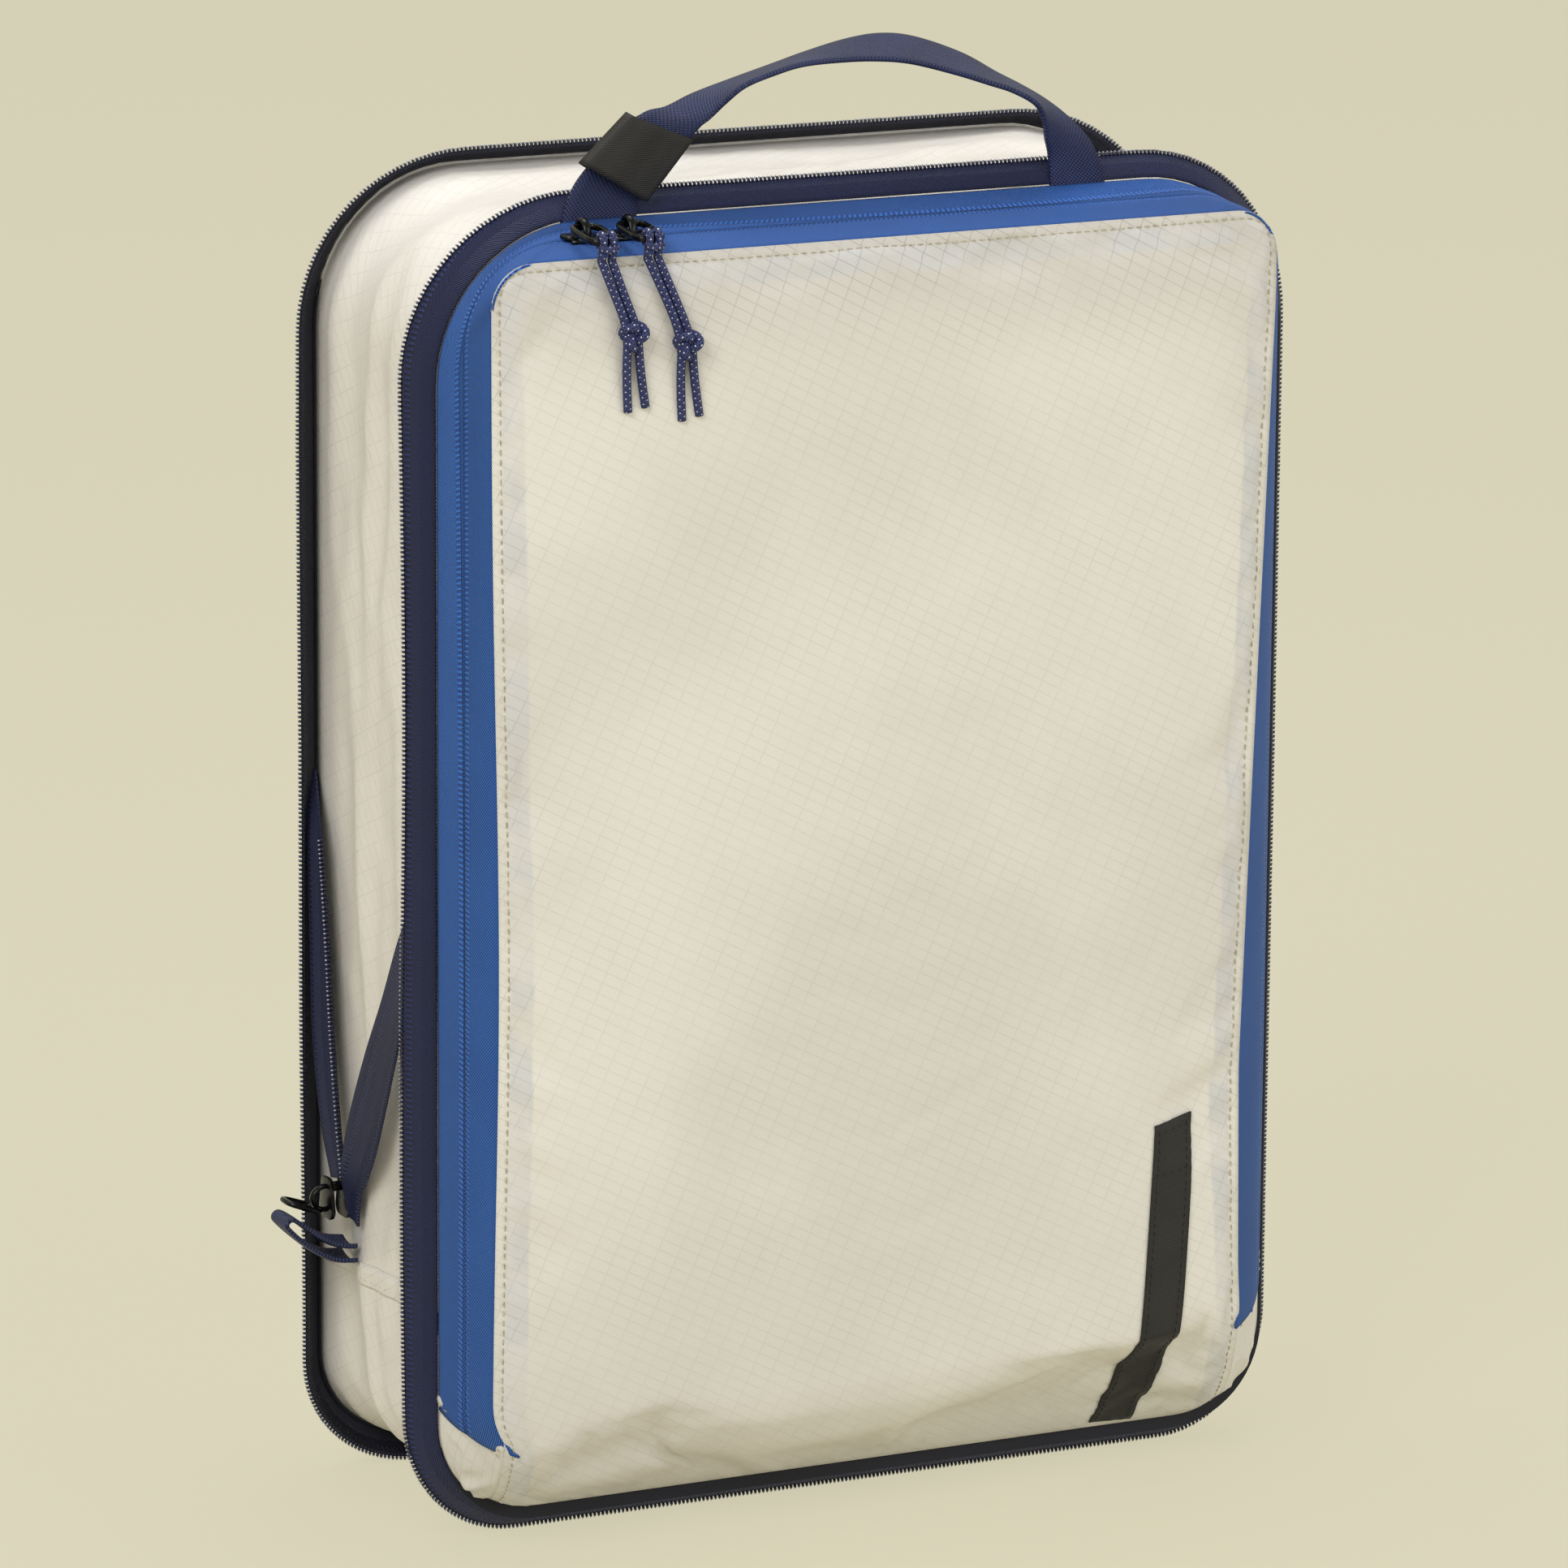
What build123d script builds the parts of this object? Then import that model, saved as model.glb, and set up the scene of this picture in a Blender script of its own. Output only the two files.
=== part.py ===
"""Standing compression packing cube: zipped front flap, compression zipper open and gusset expanded.

Frame: X to the right, the front panel looks along -Y, +Z up. The origin lies on the floor under the
middle of the front flange, halfway along its bottom edge. Millimetres.
"""
import os
from math import radians, tan

from build123d import *

# Driving dimensions -------------------------------------------------------------------------------
WALL_WIDTH = 256.0          # outside of the side walls
WALL_HEIGHT = 361.0         # outside of the bottom wall to the top wall
WALL_RADIUS_TOP = 43.0      # wall corners at the top
WALL_RADIUS_LOW = 27.0      # wall corners at the bottom
CLOTH = 1.0                 # every cloth and tape wall
FLANGE_REACH = 7.0          # how far the compression zipper's halves stand out from the wall
FLANGE_DEPTH = 7.0          # how far along Y each half runs before its coil
COIL = 2.0                  # square outline of a compression zipper coil
BINDING = 1.0               # thickness of the bound seam
BINDING_REACH = 6.0         # how far the bound seam reaches into the cube
GUSSET_DEPTH = 87.0         # front seam to back seam, expanded
BACK_BULGE = 6.0            # the back panel stands out behind its seam
BACK_INSET = 14.0           # the back panel's flat part is this much smaller all round

FRONT_DEPTH = 27.0          # front seam to the front panel
FRONT_INSET_SIDE = 9.2      # the front panel is smaller than the wall by this at each side
FRONT_LEAN = 7.0            # the stuffed front leans this far to the left
FRONT_INSET_TOP = 4.2
FRONT_INSET_LOW = 22.0
PANEL_RADIUS_TOP = 24.0
PANEL_RADIUS_LOW = 20.0
ZIP_END = 42.0              # height of the main zipper's two ends
ZIP_LINE = 13.5             # main zipper's coil line, measured from the front seam
MAIN_COIL = 1.5             # the hidden main coils
PATCH_SEAM = 108.0          # half the distance between the two corner patches
HINGE_GAP = 0.4             # clearance between pieces on different bodies

LABEL_LEFT = 76.5           # bare label strip on the front panel
LABEL_WIDTH = 13.0
LABEL_TOP = 106.0
LABEL_THICK = 0.8
LABEL_FOOT = 16.0           # the strip stops this far in front of the front seam

CARRIER_TRAVEL = 44.0       # how far the zipper start moves as the cube is compressed
BACK_TRAVEL = 6.16          # what the back moves beyond that
BAND_INSET_MIDDLE = 10.5    # the middle gusset band nests inside the other two
BAND_INSET_REAR = 4.4
BAND_OVERLAP = 2.0          # the front and middle bands overlap by this at rest
REAR_BAND_OVERLAP = 10.0    # and the middle and rear bands by this

SLIDER_WIDTH = 8.4          # across the zipper
SLIDER_LENGTH = 11.0        # along the zipper
SLIDER_PLATE = 1.2
SLIDER_LIFT = 1.2           # the slider's plate over the tape
BAIL_WIDTH = 2.2
BAIL_LENGTH = 6.0
BAIL_HOLE = 1.4             # radius
PIVOT_FORWARD = 1.0         # the puller's pivot in front of the zip line
PULLER_WIRE = 1.4
PULLER_WIDTH = 9.4
PULLER_LENGTH = 16.5
PULLER_DROP = 7.0           # degrees below level
SLIDER_SPACING = 13.5       # the right slider stands this far from the left one

CORD_DIAMETER = 2.4
KNOT_WIDTH = 8.6
KNOT_HEIGHT = 9.6
HITCH_RADIUS = 4.3          # the hitch round the bar, as wide as the cord needs to swing round it
HITCH_DEPTH = 4.6
CORD_START = 4.8            # the strands come out of the hitch this far below the bar
KNOT_DROP = 24.9            # and meet in a knot this far below it
HITCH_DROP = 2.0            # the cord's hitch below the puller's pivot

COMPRESSION_SLIDER_Y = 55.0
COMPRESSION_SLIDER_Z = 86.0
COMPRESSION_SLIDER_WIDTH = 9.6
COMPRESSION_SLIDER_LENGTH = 12.0
COMPRESSION_SLIDER_CLEAR = 1.8   # from the wall to the slider's inner plate
COMPRESSION_SLIDER_DEEP = 6.2    # outside of one plate to outside of the other
COMPRESSION_POST_WIDTH = 2.4     # the post that joins the two plates
COMPRESSION_POST_LOW = 1.0       # from the slider's middle up to the post
COMPRESSION_POST_HEIGHT = 4.0
COMPRESSION_PULLER_LENGTH = 12.0

TAIL_WIDTH = 12.0           # loose start of the compression zipper, front half
TAIL_TOP = 180.0            # where it leaves the front and back seams
TAIL_STRAIGHT = 30.0        # it follows the front seam this far down
TAIL_NECK = 20.0            # and is narrowed to the slider over this height
BACK_TAIL_NECK = 24.0
BACK_TAIL_FOOT = 12.0       # the back half leaves its seam this far above its lower end
BACK_TAIL_TOP_WIDTH = 2.0
TAIL_CLEAR = 2.5            # from the wall
GRAB_TAB_WIDTH = 12.0
GRAB_TAB_THICK = 3.0
GRAB_TAB_LENGTH = 22.6
GRAB_TAB_TILT = 30.5        # degrees above level
GRAB_TAB_Z = 60.5           # underside of the tab's sewn end

HANDLE_HALF_SPAN = 73.5     # middle of each sewn end from the handle's middle
HANDLE_MIDDLE = -6.0        # the handle's middle along X
HANDLE_WIDTH = 16.0
HANDLE_TOP_WIDTH = 8.0      # seen from the front, where the webbing has turned on edge
HANDLE_RISE = 42.0
HANDLE_THICK = 1.6
HANDLE_CLEAR = 2.5          # the hinge line above the top wall
TAG_LENGTH = 17.0
TAG_WIDTH = 20.0
TAG_THICK = 0.9
TAG_RISE = 16.5             # its middle above the hinge line
TAG_TILT = 40.0             # degrees, along the handle's left leg

# Places worked out from them ----------------------------------------------------------------------
WALL_LOW = FLANGE_REACH
WALL_TOP = WALL_LOW + WALL_HEIGHT
HALF_WIDTH = WALL_WIDTH / 2
COIL_HALF = COIL / 2
SEAM_FRONT = -(COIL_HALF + FLANGE_DEPTH + BINDING)      # the front seam, at the bound edge's front
GUSSET_START = SEAM_FRONT + BINDING
SEAM_BACK = GUSSET_START + GUSSET_DEPTH
COIL_BACK = SEAM_BACK - FLANGE_DEPTH - COIL_HALF
BACK_START = SEAM_BACK + BINDING
BACK_FACE = BACK_START + BACK_BULGE
PANEL_FACE = SEAM_FRONT - FRONT_DEPTH
ZIP_Y = SEAM_FRONT - ZIP_LINE
FLAP_LOW = ZIP_END + HINGE_GAP
TOTAL_TRAVEL = CARRIER_TRAVEL + BACK_TRAVEL
FRONT_BAND_END = SEAM_BACK - TOTAL_TRAVEL - 2 * HINGE_GAP
MIDDLE_BAND_START = FRONT_BAND_END - BAND_OVERLAP
MIDDLE_BAND_END = SEAM_BACK - BACK_TRAVEL - 2 * HINGE_GAP
REAR_BAND_START = MIDDLE_BAND_END - REAR_BAND_OVERLAP
FAR = 500.0


def block(x0, x1, y0, y1, z0, z1):
    """A box from its six faces."""
    return Pos((x0 + x1) / 2, (y0 + y1) / 2, (z0 + z1) / 2) * Box(x1 - x0, y1 - y0, z1 - z0)


def outline(y, left, right, low, high, radius_low, radius_high):
    """A face in the plane at y: a rectangle with its own bottom and top corner radii."""
    lines = [
        Line((left + radius_low, low), (right - radius_low, low)),
        CenterArc((right - radius_low, low + radius_low), radius_low, 270, 90),
        Line((right, low + radius_low), (right, high - radius_high)),
        CenterArc((right - radius_high, high - radius_high), radius_high, 0, 90),
        Line((right - radius_high, high), (left + radius_high, high)),
        CenterArc((left + radius_high, high - radius_high), radius_high, 90, 90),
        Line((left, high - radius_high), (left, low + radius_low)),
        CenterArc((left + radius_low, low + radius_low), radius_low, 180, 90),
    ]
    edges = [edge for line in lines for edge in line.edges()]
    plane = Plane(origin=(0, y, 0), x_dir=(1, 0, 0), z_dir=(0, -1, 0))
    return plane * Face(Wire(edges))


def wall_outline(y, grow):
    """The cube's wall outline, grown outwards."""
    return outline(y, -HALF_WIDTH - grow, HALF_WIDTH + grow, WALL_LOW - grow, WALL_TOP + grow,
                   WALL_RADIUS_LOW + grow, WALL_RADIUS_TOP + grow)


def front_outline(y, inset):
    """The outline of the stuffed front between its seam and its panel, made smaller by inset."""
    share = (SEAM_FRONT - y) / FRONT_DEPTH
    side = FRONT_INSET_SIDE * share
    lean = FRONT_LEAN * share
    radius_low = WALL_RADIUS_LOW + (PANEL_RADIUS_LOW - WALL_RADIUS_LOW) * share
    radius_top = WALL_RADIUS_TOP + (PANEL_RADIUS_TOP - WALL_RADIUS_TOP) * share
    return outline(y, -HALF_WIDTH + side - lean + inset, HALF_WIDTH - side - lean - inset,
                   WALL_LOW + FRONT_INSET_LOW * share + inset, WALL_TOP - FRONT_INSET_TOP * share - inset,
                   radius_low - inset, radius_top - inset)


def wall_band(y0, grow0, y1, grow1, thick):
    """A closed band of cloth round the cube: its outside runs from grow0 at y0 to grow1 at y1."""
    outer = loft([wall_outline(y0, grow0), wall_outline(y1, grow1)], ruled=True)
    inner = loft([wall_outline(y0, grow0 - thick), wall_outline(y1, grow1 - thick)], ruled=True)
    return outer - inner


def front_band(y0, y1, inset, thick):
    """A closed band of the front's side wall between two planes, y0 behind y1."""
    outer = loft([front_outline(y0, inset), front_outline(y1, inset)], ruled=True)
    inner = loft([front_outline(y0, inset + thick), front_outline(y1, inset + thick)], ruled=True)
    return outer - inner


def above(height):
    return block(-FAR, FAR, -FAR, FAR, height, FAR)


def below(height):
    return block(-FAR, FAR, -FAR, FAR, -FAR, height)


# The front ----------------------------------------------------------------------------------------
def front_pieces():
    """The flap, the strip under it, the corner patches and the main zipper's two halves."""
    panel_back = PANEL_FACE + CLOTH
    plate = loft([front_outline(panel_back, 0), front_outline(PANEL_FACE, 0)], ruled=True)
    side_wall = front_band(SEAM_FRONT, panel_back, 0, CLOTH)
    outer_edge = ZIP_Y + HINGE_GAP / 2
    inner_edge = ZIP_Y - HINGE_GAP / 2
    low_wall = side_wall & below(ZIP_END)
    left_zone = block(-FAR, -PATCH_SEAM, -FAR, FAR, -FAR, FAR)
    right_zone = block(PATCH_SEAM - FRONT_LEAN, FAR, -FAR, FAR, -FAR, FAR)
    return {
        "front_panel": plate & above(FLAP_LOW),
        "front_panel_lower": (low_wall - left_zone - right_zone) + (plate & below(ZIP_END)),
        "corner_patch_left": low_wall & left_zone,
        "corner_patch_right": low_wall & right_zone,
        "main_zip_outer_tape": front_band(SEAM_FRONT, outer_edge, 0, CLOTH) & above(ZIP_END),
        "main_zip_inner_tape": front_band(inner_edge, panel_back, 0, CLOTH) & above(FLAP_LOW),
        "main_zip_outer_coil":
            front_band(outer_edge + MAIN_COIL, outer_edge, CLOTH, MAIN_COIL) & above(ZIP_END),
        "main_zip_inner_coil":
            front_band(inner_edge, inner_edge - MAIN_COIL, CLOTH, MAIN_COIL) & above(FLAP_LOW),
    }


def label_pieces():
    """The bare label strip: one length on the flap, one on the fixed strip below it."""
    start = SEAM_FRONT - LABEL_FOOT
    face = PANEL_FACE - LABEL_THICK
    outer = loft([front_outline(start, -LABEL_THICK), front_outline(face, -LABEL_THICK)], ruled=True)
    inner = loft([front_outline(start, 0), front_outline(PANEL_FACE, 0)], ruled=True)
    skin = outer - inner
    lane = block(LABEL_LEFT, LABEL_LEFT + LABEL_WIDTH, -FAR, FAR, -FAR, LABEL_TOP)
    return {
        "label_strip": skin & lane & above(FLAP_LOW),
        "label_strip_foot": skin & lane & below(ZIP_END),
    }


# The compression zipper and the walls -------------------------------------------------------------
def wall_pieces():
    """Both halves of the compression zipper, the bound seams, the gusset bands and the back."""
    coil_reach = FLANGE_REACH
    front_coil = wall_band(-COIL_HALF, coil_reach, COIL_HALF, coil_reach, COIL)
    back_coil = wall_band(COIL_BACK - COIL_HALF, coil_reach, COIL_BACK + COIL_HALF, coil_reach, COIL)
    back_outer = loft([wall_outline(BACK_START, 0), wall_outline(BACK_FACE, -BACK_INSET)], ruled=True)
    inner_rim = -BACK_INSET * (BACK_BULGE - CLOTH) / BACK_BULGE - CLOTH
    back_inner = loft([wall_outline(BACK_START, -CLOTH),
                       wall_outline(BACK_FACE - CLOTH, inner_rim)], ruled=True)
    return {
        "front_seam_binding": wall_band(SEAM_FRONT, CLOTH, GUSSET_START, CLOTH, CLOTH + BINDING_REACH),
        "front_zip_tape": wall_band(GUSSET_START, CLOTH, -COIL_HALF, FLANGE_REACH, CLOTH),
        "front_zip_coil": front_coil,
        "gusset_front_band": wall_band(GUSSET_START, 0, FRONT_BAND_END, 0, CLOTH),
        "gusset_middle_band": wall_band(MIDDLE_BAND_START, -BAND_INSET_MIDDLE,
                                        MIDDLE_BAND_END, -BAND_INSET_MIDDLE, CLOTH),
        "gusset_rear_band": wall_band(REAR_BAND_START, -BAND_INSET_REAR,
                                      SEAM_BACK, -BAND_INSET_REAR, CLOTH),
        "back_zip_coil": back_coil,
        "back_zip_tape": wall_band(COIL_BACK + COIL_HALF, FLANGE_REACH, SEAM_BACK, CLOTH, CLOTH),
        "back_seam_binding": wall_band(SEAM_BACK, CLOTH, BACK_START, CLOTH, CLOTH + BINDING_REACH),
        "back_panel": back_outer - back_inner,
    }


# Sliders and pullers ------------------------------------------------------------------------------
def puller_ring(length):
    """A flat wire ring: its near bar is centred on the origin, and it runs along -Y."""
    outer = Rectangle(PULLER_WIDTH, length)
    inner = Rectangle(PULLER_WIDTH - 2 * PULLER_WIRE, length - 2 * PULLER_WIRE)
    rim = fillet(outer.vertices(), PULLER_WIRE) - inner
    ring = extrude(rim, PULLER_WIRE / 2, both=True)
    return Pos(0, -(length - PULLER_WIRE) / 2, 0) * ring


def bail(height):
    """The bridge on a slider: its hole runs along X and is centred at the origin."""
    body = Box(BAIL_WIDTH, BAIL_LENGTH, height)
    hole = Rot(0, 90, 0) * Cylinder(BAIL_HOLE, BAIL_WIDTH * 2)
    return body - hole


def rounded_plate(length, width, thick):
    return extrude(RectangleRounded(length, width, min(length, width) * 0.3), thick)


BAIL_HEIGHT = 2 * BAIL_HOLE + 1.6
PLATE_TOP = SLIDER_LIFT + SLIDER_PLATE
PIVOT_LIFT = PLATE_TOP + BAIL_HEIGHT / 2
ZIP_SHARE = ZIP_LINE / FRONT_DEPTH
ZIP_LINE_TOP = WALL_TOP - FRONT_INSET_TOP * ZIP_SHARE
ZIP_LINE_RADIUS = WALL_RADIUS_TOP + (PANEL_RADIUS_TOP - WALL_RADIUS_TOP) * ZIP_SHARE
LEFT_SLIDER_X = -HALF_WIDTH + (FRONT_INSET_SIDE - FRONT_LEAN) * ZIP_SHARE + ZIP_LINE_RADIUS
RIGHT_SLIDER_X = LEFT_SLIDER_X + SLIDER_SPACING
PIVOT_Y = ZIP_Y - PIVOT_FORWARD
PIVOT_Z = ZIP_LINE_TOP + PIVOT_LIFT


def main_slider(side, x):
    """One slider of the main zipper with its bail and wire puller."""
    plate = rounded_plate(SLIDER_LENGTH, SLIDER_WIDTH, SLIDER_PLATE)
    ring = Pos(x, PIVOT_Y, PIVOT_Z) * Rot(PULLER_DROP, 0, 0) * puller_ring(PULLER_LENGTH)
    return {
        f"main_slider_{side}_body": Pos(x, ZIP_Y, ZIP_LINE_TOP + SLIDER_LIFT) * plate,
        f"main_slider_{side}_bail": Pos(x, PIVOT_Y, PIVOT_Z) * bail(BAIL_HEIGHT),
        f"main_puller_{side}": ring,
    }


def compression_slider():
    """The compression zipper's slider, its bail and its puller, outside the left wall."""
    inner_face = -HALF_WIDTH - COMPRESSION_SLIDER_CLEAR
    outer_face = inner_face - COMPRESSION_SLIDER_DEEP
    plate = rounded_plate(COMPRESSION_SLIDER_LENGTH, COMPRESSION_SLIDER_WIDTH, SLIDER_PLATE)
    turn = Rot(0, -90, 0)
    inner_plate = Pos(inner_face, COMPRESSION_SLIDER_Y, COMPRESSION_SLIDER_Z) * turn * plate
    outer_plate = Pos(outer_face + SLIDER_PLATE, COMPRESSION_SLIDER_Y,
                      COMPRESSION_SLIDER_Z) * turn * plate
    post_low = COMPRESSION_SLIDER_Z + COMPRESSION_POST_LOW
    post = block(outer_face + SLIDER_PLATE, inner_face - SLIDER_PLATE,
                 COMPRESSION_SLIDER_Y - COMPRESSION_POST_WIDTH / 2,
                 COMPRESSION_SLIDER_Y + COMPRESSION_POST_WIDTH / 2,
                 post_low, post_low + COMPRESSION_POST_HEIGHT)
    pivot_x = outer_face - BAIL_HEIGHT / 2
    to_wall = Rot(0, -90, 0) * Rot(0, 0, 90)
    place = Pos(pivot_x, COMPRESSION_SLIDER_Y, COMPRESSION_SLIDER_Z)
    ring = place * Rot(0, -PULLER_DROP * 2, 0) * Rot(0, 0, -90) * puller_ring(COMPRESSION_PULLER_LENGTH)
    return {
        "compression_slider_body": inner_plate + outer_plate + post,
        "compression_slider_bail": place * to_wall * bail(BAIL_HEIGHT),
        "compression_puller": ring,
    }


# Loose zipper start and grab tab ------------------------------------------------------------------
def tail_pieces():
    """The two loose halves that run from the seams down to the slider, and the folded grab tab."""
    face = -HALF_WIDTH - TAIL_CLEAR
    low = COMPRESSION_SLIDER_Z - COMPRESSION_SLIDER_LENGTH / 2
    near = COMPRESSION_SLIDER_Y - COMPRESSION_SLIDER_WIDTH / 2 - 2 * HINGE_GAP
    past = COMPRESSION_SLIDER_Y + COMPRESSION_SLIDER_WIDTH / 2 + 2 * HINGE_GAP
    start = COIL_HALF + 2 * HINGE_GAP
    stop = COIL_BACK - COIL_HALF - 2 * HINGE_GAP
    plane = Plane(origin=(face, 0, 0), x_dir=(0, 1, 0), z_dir=(1, 0, 0))
    front = make_face(Polyline((start, TAIL_TOP), (start, TAIL_TOP - TAIL_STRAIGHT),
                               (near - TAIL_WIDTH, low), (near, low), (near, low + TAIL_NECK),
                               (start + TAIL_WIDTH / 2, TAIL_TOP), close=True))
    back = make_face(Polyline((stop - BACK_TAIL_TOP_WIDTH, TAIL_TOP), (past, low + BACK_TAIL_NECK),
                              (past, low), (stop, low + BACK_TAIL_FOOT), (stop, TAIL_TOP), close=True))
    tab = block(-GRAB_TAB_LENGTH, 0, -GRAB_TAB_WIDTH / 2, GRAB_TAB_WIDTH / 2, 0, GRAB_TAB_THICK)
    return {
        "front_zip_tail": extrude(plane * front, -CLOTH),
        "back_zip_tail": extrude(plane * back, -CLOTH),
        "grab_tab": Pos(-HALF_WIDTH - COMPRESSION_SLIDER_CLEAR, COMPRESSION_SLIDER_Y, GRAB_TAB_Z)
        * Rot(0, GRAB_TAB_TILT, 0) * tab,
    }


# Handle and tag -----------------------------------------------------------------------------------
def handle_pieces():
    """The webbing arch over the front seam and the bare size tag folded round its left leg."""
    base = WALL_TOP + HANDLE_CLEAR
    outer_half = HANDLE_HALF_SPAN + HANDLE_WIDTH / 2
    inner_half = HANDLE_HALF_SPAN - HANDLE_WIDTH / 2
    outer = ThreePointArc((-outer_half, base), (0, base + HANDLE_RISE), (outer_half, base))
    inner = ThreePointArc((-inner_half, base), (0, base + HANDLE_RISE - HANDLE_TOP_WIDTH),
                          (inner_half, base))
    ends = [Line((-outer_half, base), (-inner_half, base)), Line((inner_half, base), (outer_half, base))]
    face = make_face([*outer.edges(), *inner.edges(), *ends[0].edges(), *ends[1].edges()])
    plane = Plane(origin=(HANDLE_MIDDLE, SEAM_FRONT, 0), x_dir=(1, 0, 0), z_dir=(0, -1, 0))
    strap = extrude(plane * face, HANDLE_THICK / 2, both=True)
    leg_x = HANDLE_MIDDLE - HANDLE_HALF_SPAN + TAG_LENGTH / 2
    sleeve = Box(TAG_LENGTH, HANDLE_THICK + 2 * TAG_THICK, TAG_WIDTH)
    tag = Pos(leg_x, SEAM_FRONT, base + TAG_RISE) * Rot(0, -TAG_TILT, 0) * sleeve
    return {"carry_handle": strap, "size_tag": tag - strap}


# Cord pulls ---------------------------------------------------------------------------------------
def cord_tube(name, points):
    """A cord along straight runs joined by tangent arcs, as large as the runs allow."""
    radii = []
    for before, here, after in zip(points, points[1:], points[2:]):
        first = Vector(*here) - Vector(*before)
        second = Vector(*after) - Vector(*here)
        half_turn = radians(first.get_angle(second)) / 2
        radii.append(0.45 * min(first.length, second.length) / tan(half_turn))
    path = FilletPolyline(*points, radius=radii)
    section = Plane(origin=path @ 0, z_dir=path % 0) * Circle(CORD_DIAMETER / 2)
    tube = sweep(section, path=path)
    share = tube.volume / (section.area * path.length)
    print(f"{name}: length {path.length:.1f}, radii {[round(radius, 1) for radius in radii]},"
          f" volume share {share:.4f}")
    return tube


def cord_pull(side, x, shift, drop):
    """A cord hitched to a puller: two strands that pass through one knot, each with its own tail.

    shift is how far the knot lies to the right of the hitch, drop how much lower than the left one.
    """
    hitch_y = PIVOT_Y - (PULLER_LENGTH - PULLER_WIRE)
    hitch_z = PIVOT_Z - HITCH_DROP
    top = hitch_z - CORD_START
    knot = (x + shift, hitch_y - 3.2, hitch_z - KNOT_DROP - drop)
    strand_a = [(x - 1.5, hitch_y, top), (x - 1.0 + shift * 0.3, hitch_y - 1.6, top - 7.4),
                (knot[0] - 1.4, knot[1], knot[2] + 1.5), (knot[0] - 1.9, knot[1] + 0.6, knot[2] - 10.5),
                (knot[0] - 0.9, knot[1] + 1.4, knot[2] - 21.0)]
    strand_b = [(x + 1.5, hitch_y, top), (x + 1.9 + shift * 0.3, hitch_y - 1.4, top - 7.8),
                (knot[0] + 1.4, knot[1], knot[2] + 1.0), (knot[0] + 2.2, knot[1] + 0.7, knot[2] - 9.5),
                (knot[0] + 4.2, knot[1] + 1.3, knot[2] - 20.0)]
    ball = Sphere(KNOT_WIDTH / 2)
    ball = scale(ball, by=(1.0, 0.8, KNOT_HEIGHT / KNOT_WIDTH))
    return {
        f"cord_hitch_{side}": Pos(x, hitch_y, hitch_z) * Rot(90, 0, 0)
        * fillet(Cylinder(HITCH_RADIUS, HITCH_DEPTH).edges(), 1.2),
        f"cord_strand_{side}_a": cord_tube(f"cord_strand_{side}_a", strand_a),
        f"cord_strand_{side}_b": cord_tube(f"cord_strand_{side}_b", strand_b),
        f"cord_knot_{side}": Pos(*knot) * ball,
    }


def main():
    pieces = {}
    pieces.update(front_pieces())
    pieces.update(label_pieces())
    pieces.update(wall_pieces())
    pieces.update(main_slider("left", LEFT_SLIDER_X))
    pieces.update(main_slider("right", RIGHT_SLIDER_X))
    pieces.update(compression_slider())
    pieces.update(tail_pieces())
    pieces.update(handle_pieces())
    pieces.update(cord_pull("left", LEFT_SLIDER_X, 6.5, 0.0))
    pieces.update(cord_pull("right", RIGHT_SLIDER_X, 9.0, 3.5))
    os.makedirs("parts", exist_ok=True)
    for name, solid in pieces.items():
        export_step(solid, f"parts/{name}.step")


main()
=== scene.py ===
"""Standing compression packing cube: pale ripstop, a blue main zipper and a navy expansion zipper.

Metres, in the frame of the CAD model: X to the right, the front looks along -Y, the floor is Z = 0.
"""
import math

import bmesh
import bpy
import numpy as np
from mathutils import Matrix, Vector, noise
from mathutils.bvhtree import BVHTree


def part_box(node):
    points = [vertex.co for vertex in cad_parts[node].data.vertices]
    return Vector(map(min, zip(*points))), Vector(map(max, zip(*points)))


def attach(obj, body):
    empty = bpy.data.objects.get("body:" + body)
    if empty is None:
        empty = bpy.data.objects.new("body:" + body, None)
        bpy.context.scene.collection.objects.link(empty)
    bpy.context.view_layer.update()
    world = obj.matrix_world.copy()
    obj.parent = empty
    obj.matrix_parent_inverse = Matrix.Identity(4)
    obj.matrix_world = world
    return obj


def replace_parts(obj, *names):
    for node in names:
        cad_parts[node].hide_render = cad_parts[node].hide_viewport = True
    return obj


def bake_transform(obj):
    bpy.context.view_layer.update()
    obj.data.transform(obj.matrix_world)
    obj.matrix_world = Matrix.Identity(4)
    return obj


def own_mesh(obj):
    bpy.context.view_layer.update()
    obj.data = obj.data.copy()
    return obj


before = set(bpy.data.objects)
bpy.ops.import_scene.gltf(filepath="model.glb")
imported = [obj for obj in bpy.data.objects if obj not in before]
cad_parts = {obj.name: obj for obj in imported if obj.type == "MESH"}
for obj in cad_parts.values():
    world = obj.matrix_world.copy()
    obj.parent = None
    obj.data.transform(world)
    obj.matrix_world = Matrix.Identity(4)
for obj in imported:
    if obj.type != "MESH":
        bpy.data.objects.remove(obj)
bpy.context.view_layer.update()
MM = 0.001


# Places in the frame ------------------------------------------------------------------------------
def middle(node):
    low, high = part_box(node)
    return (Vector(low) + Vector(high)) / 2


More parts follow.
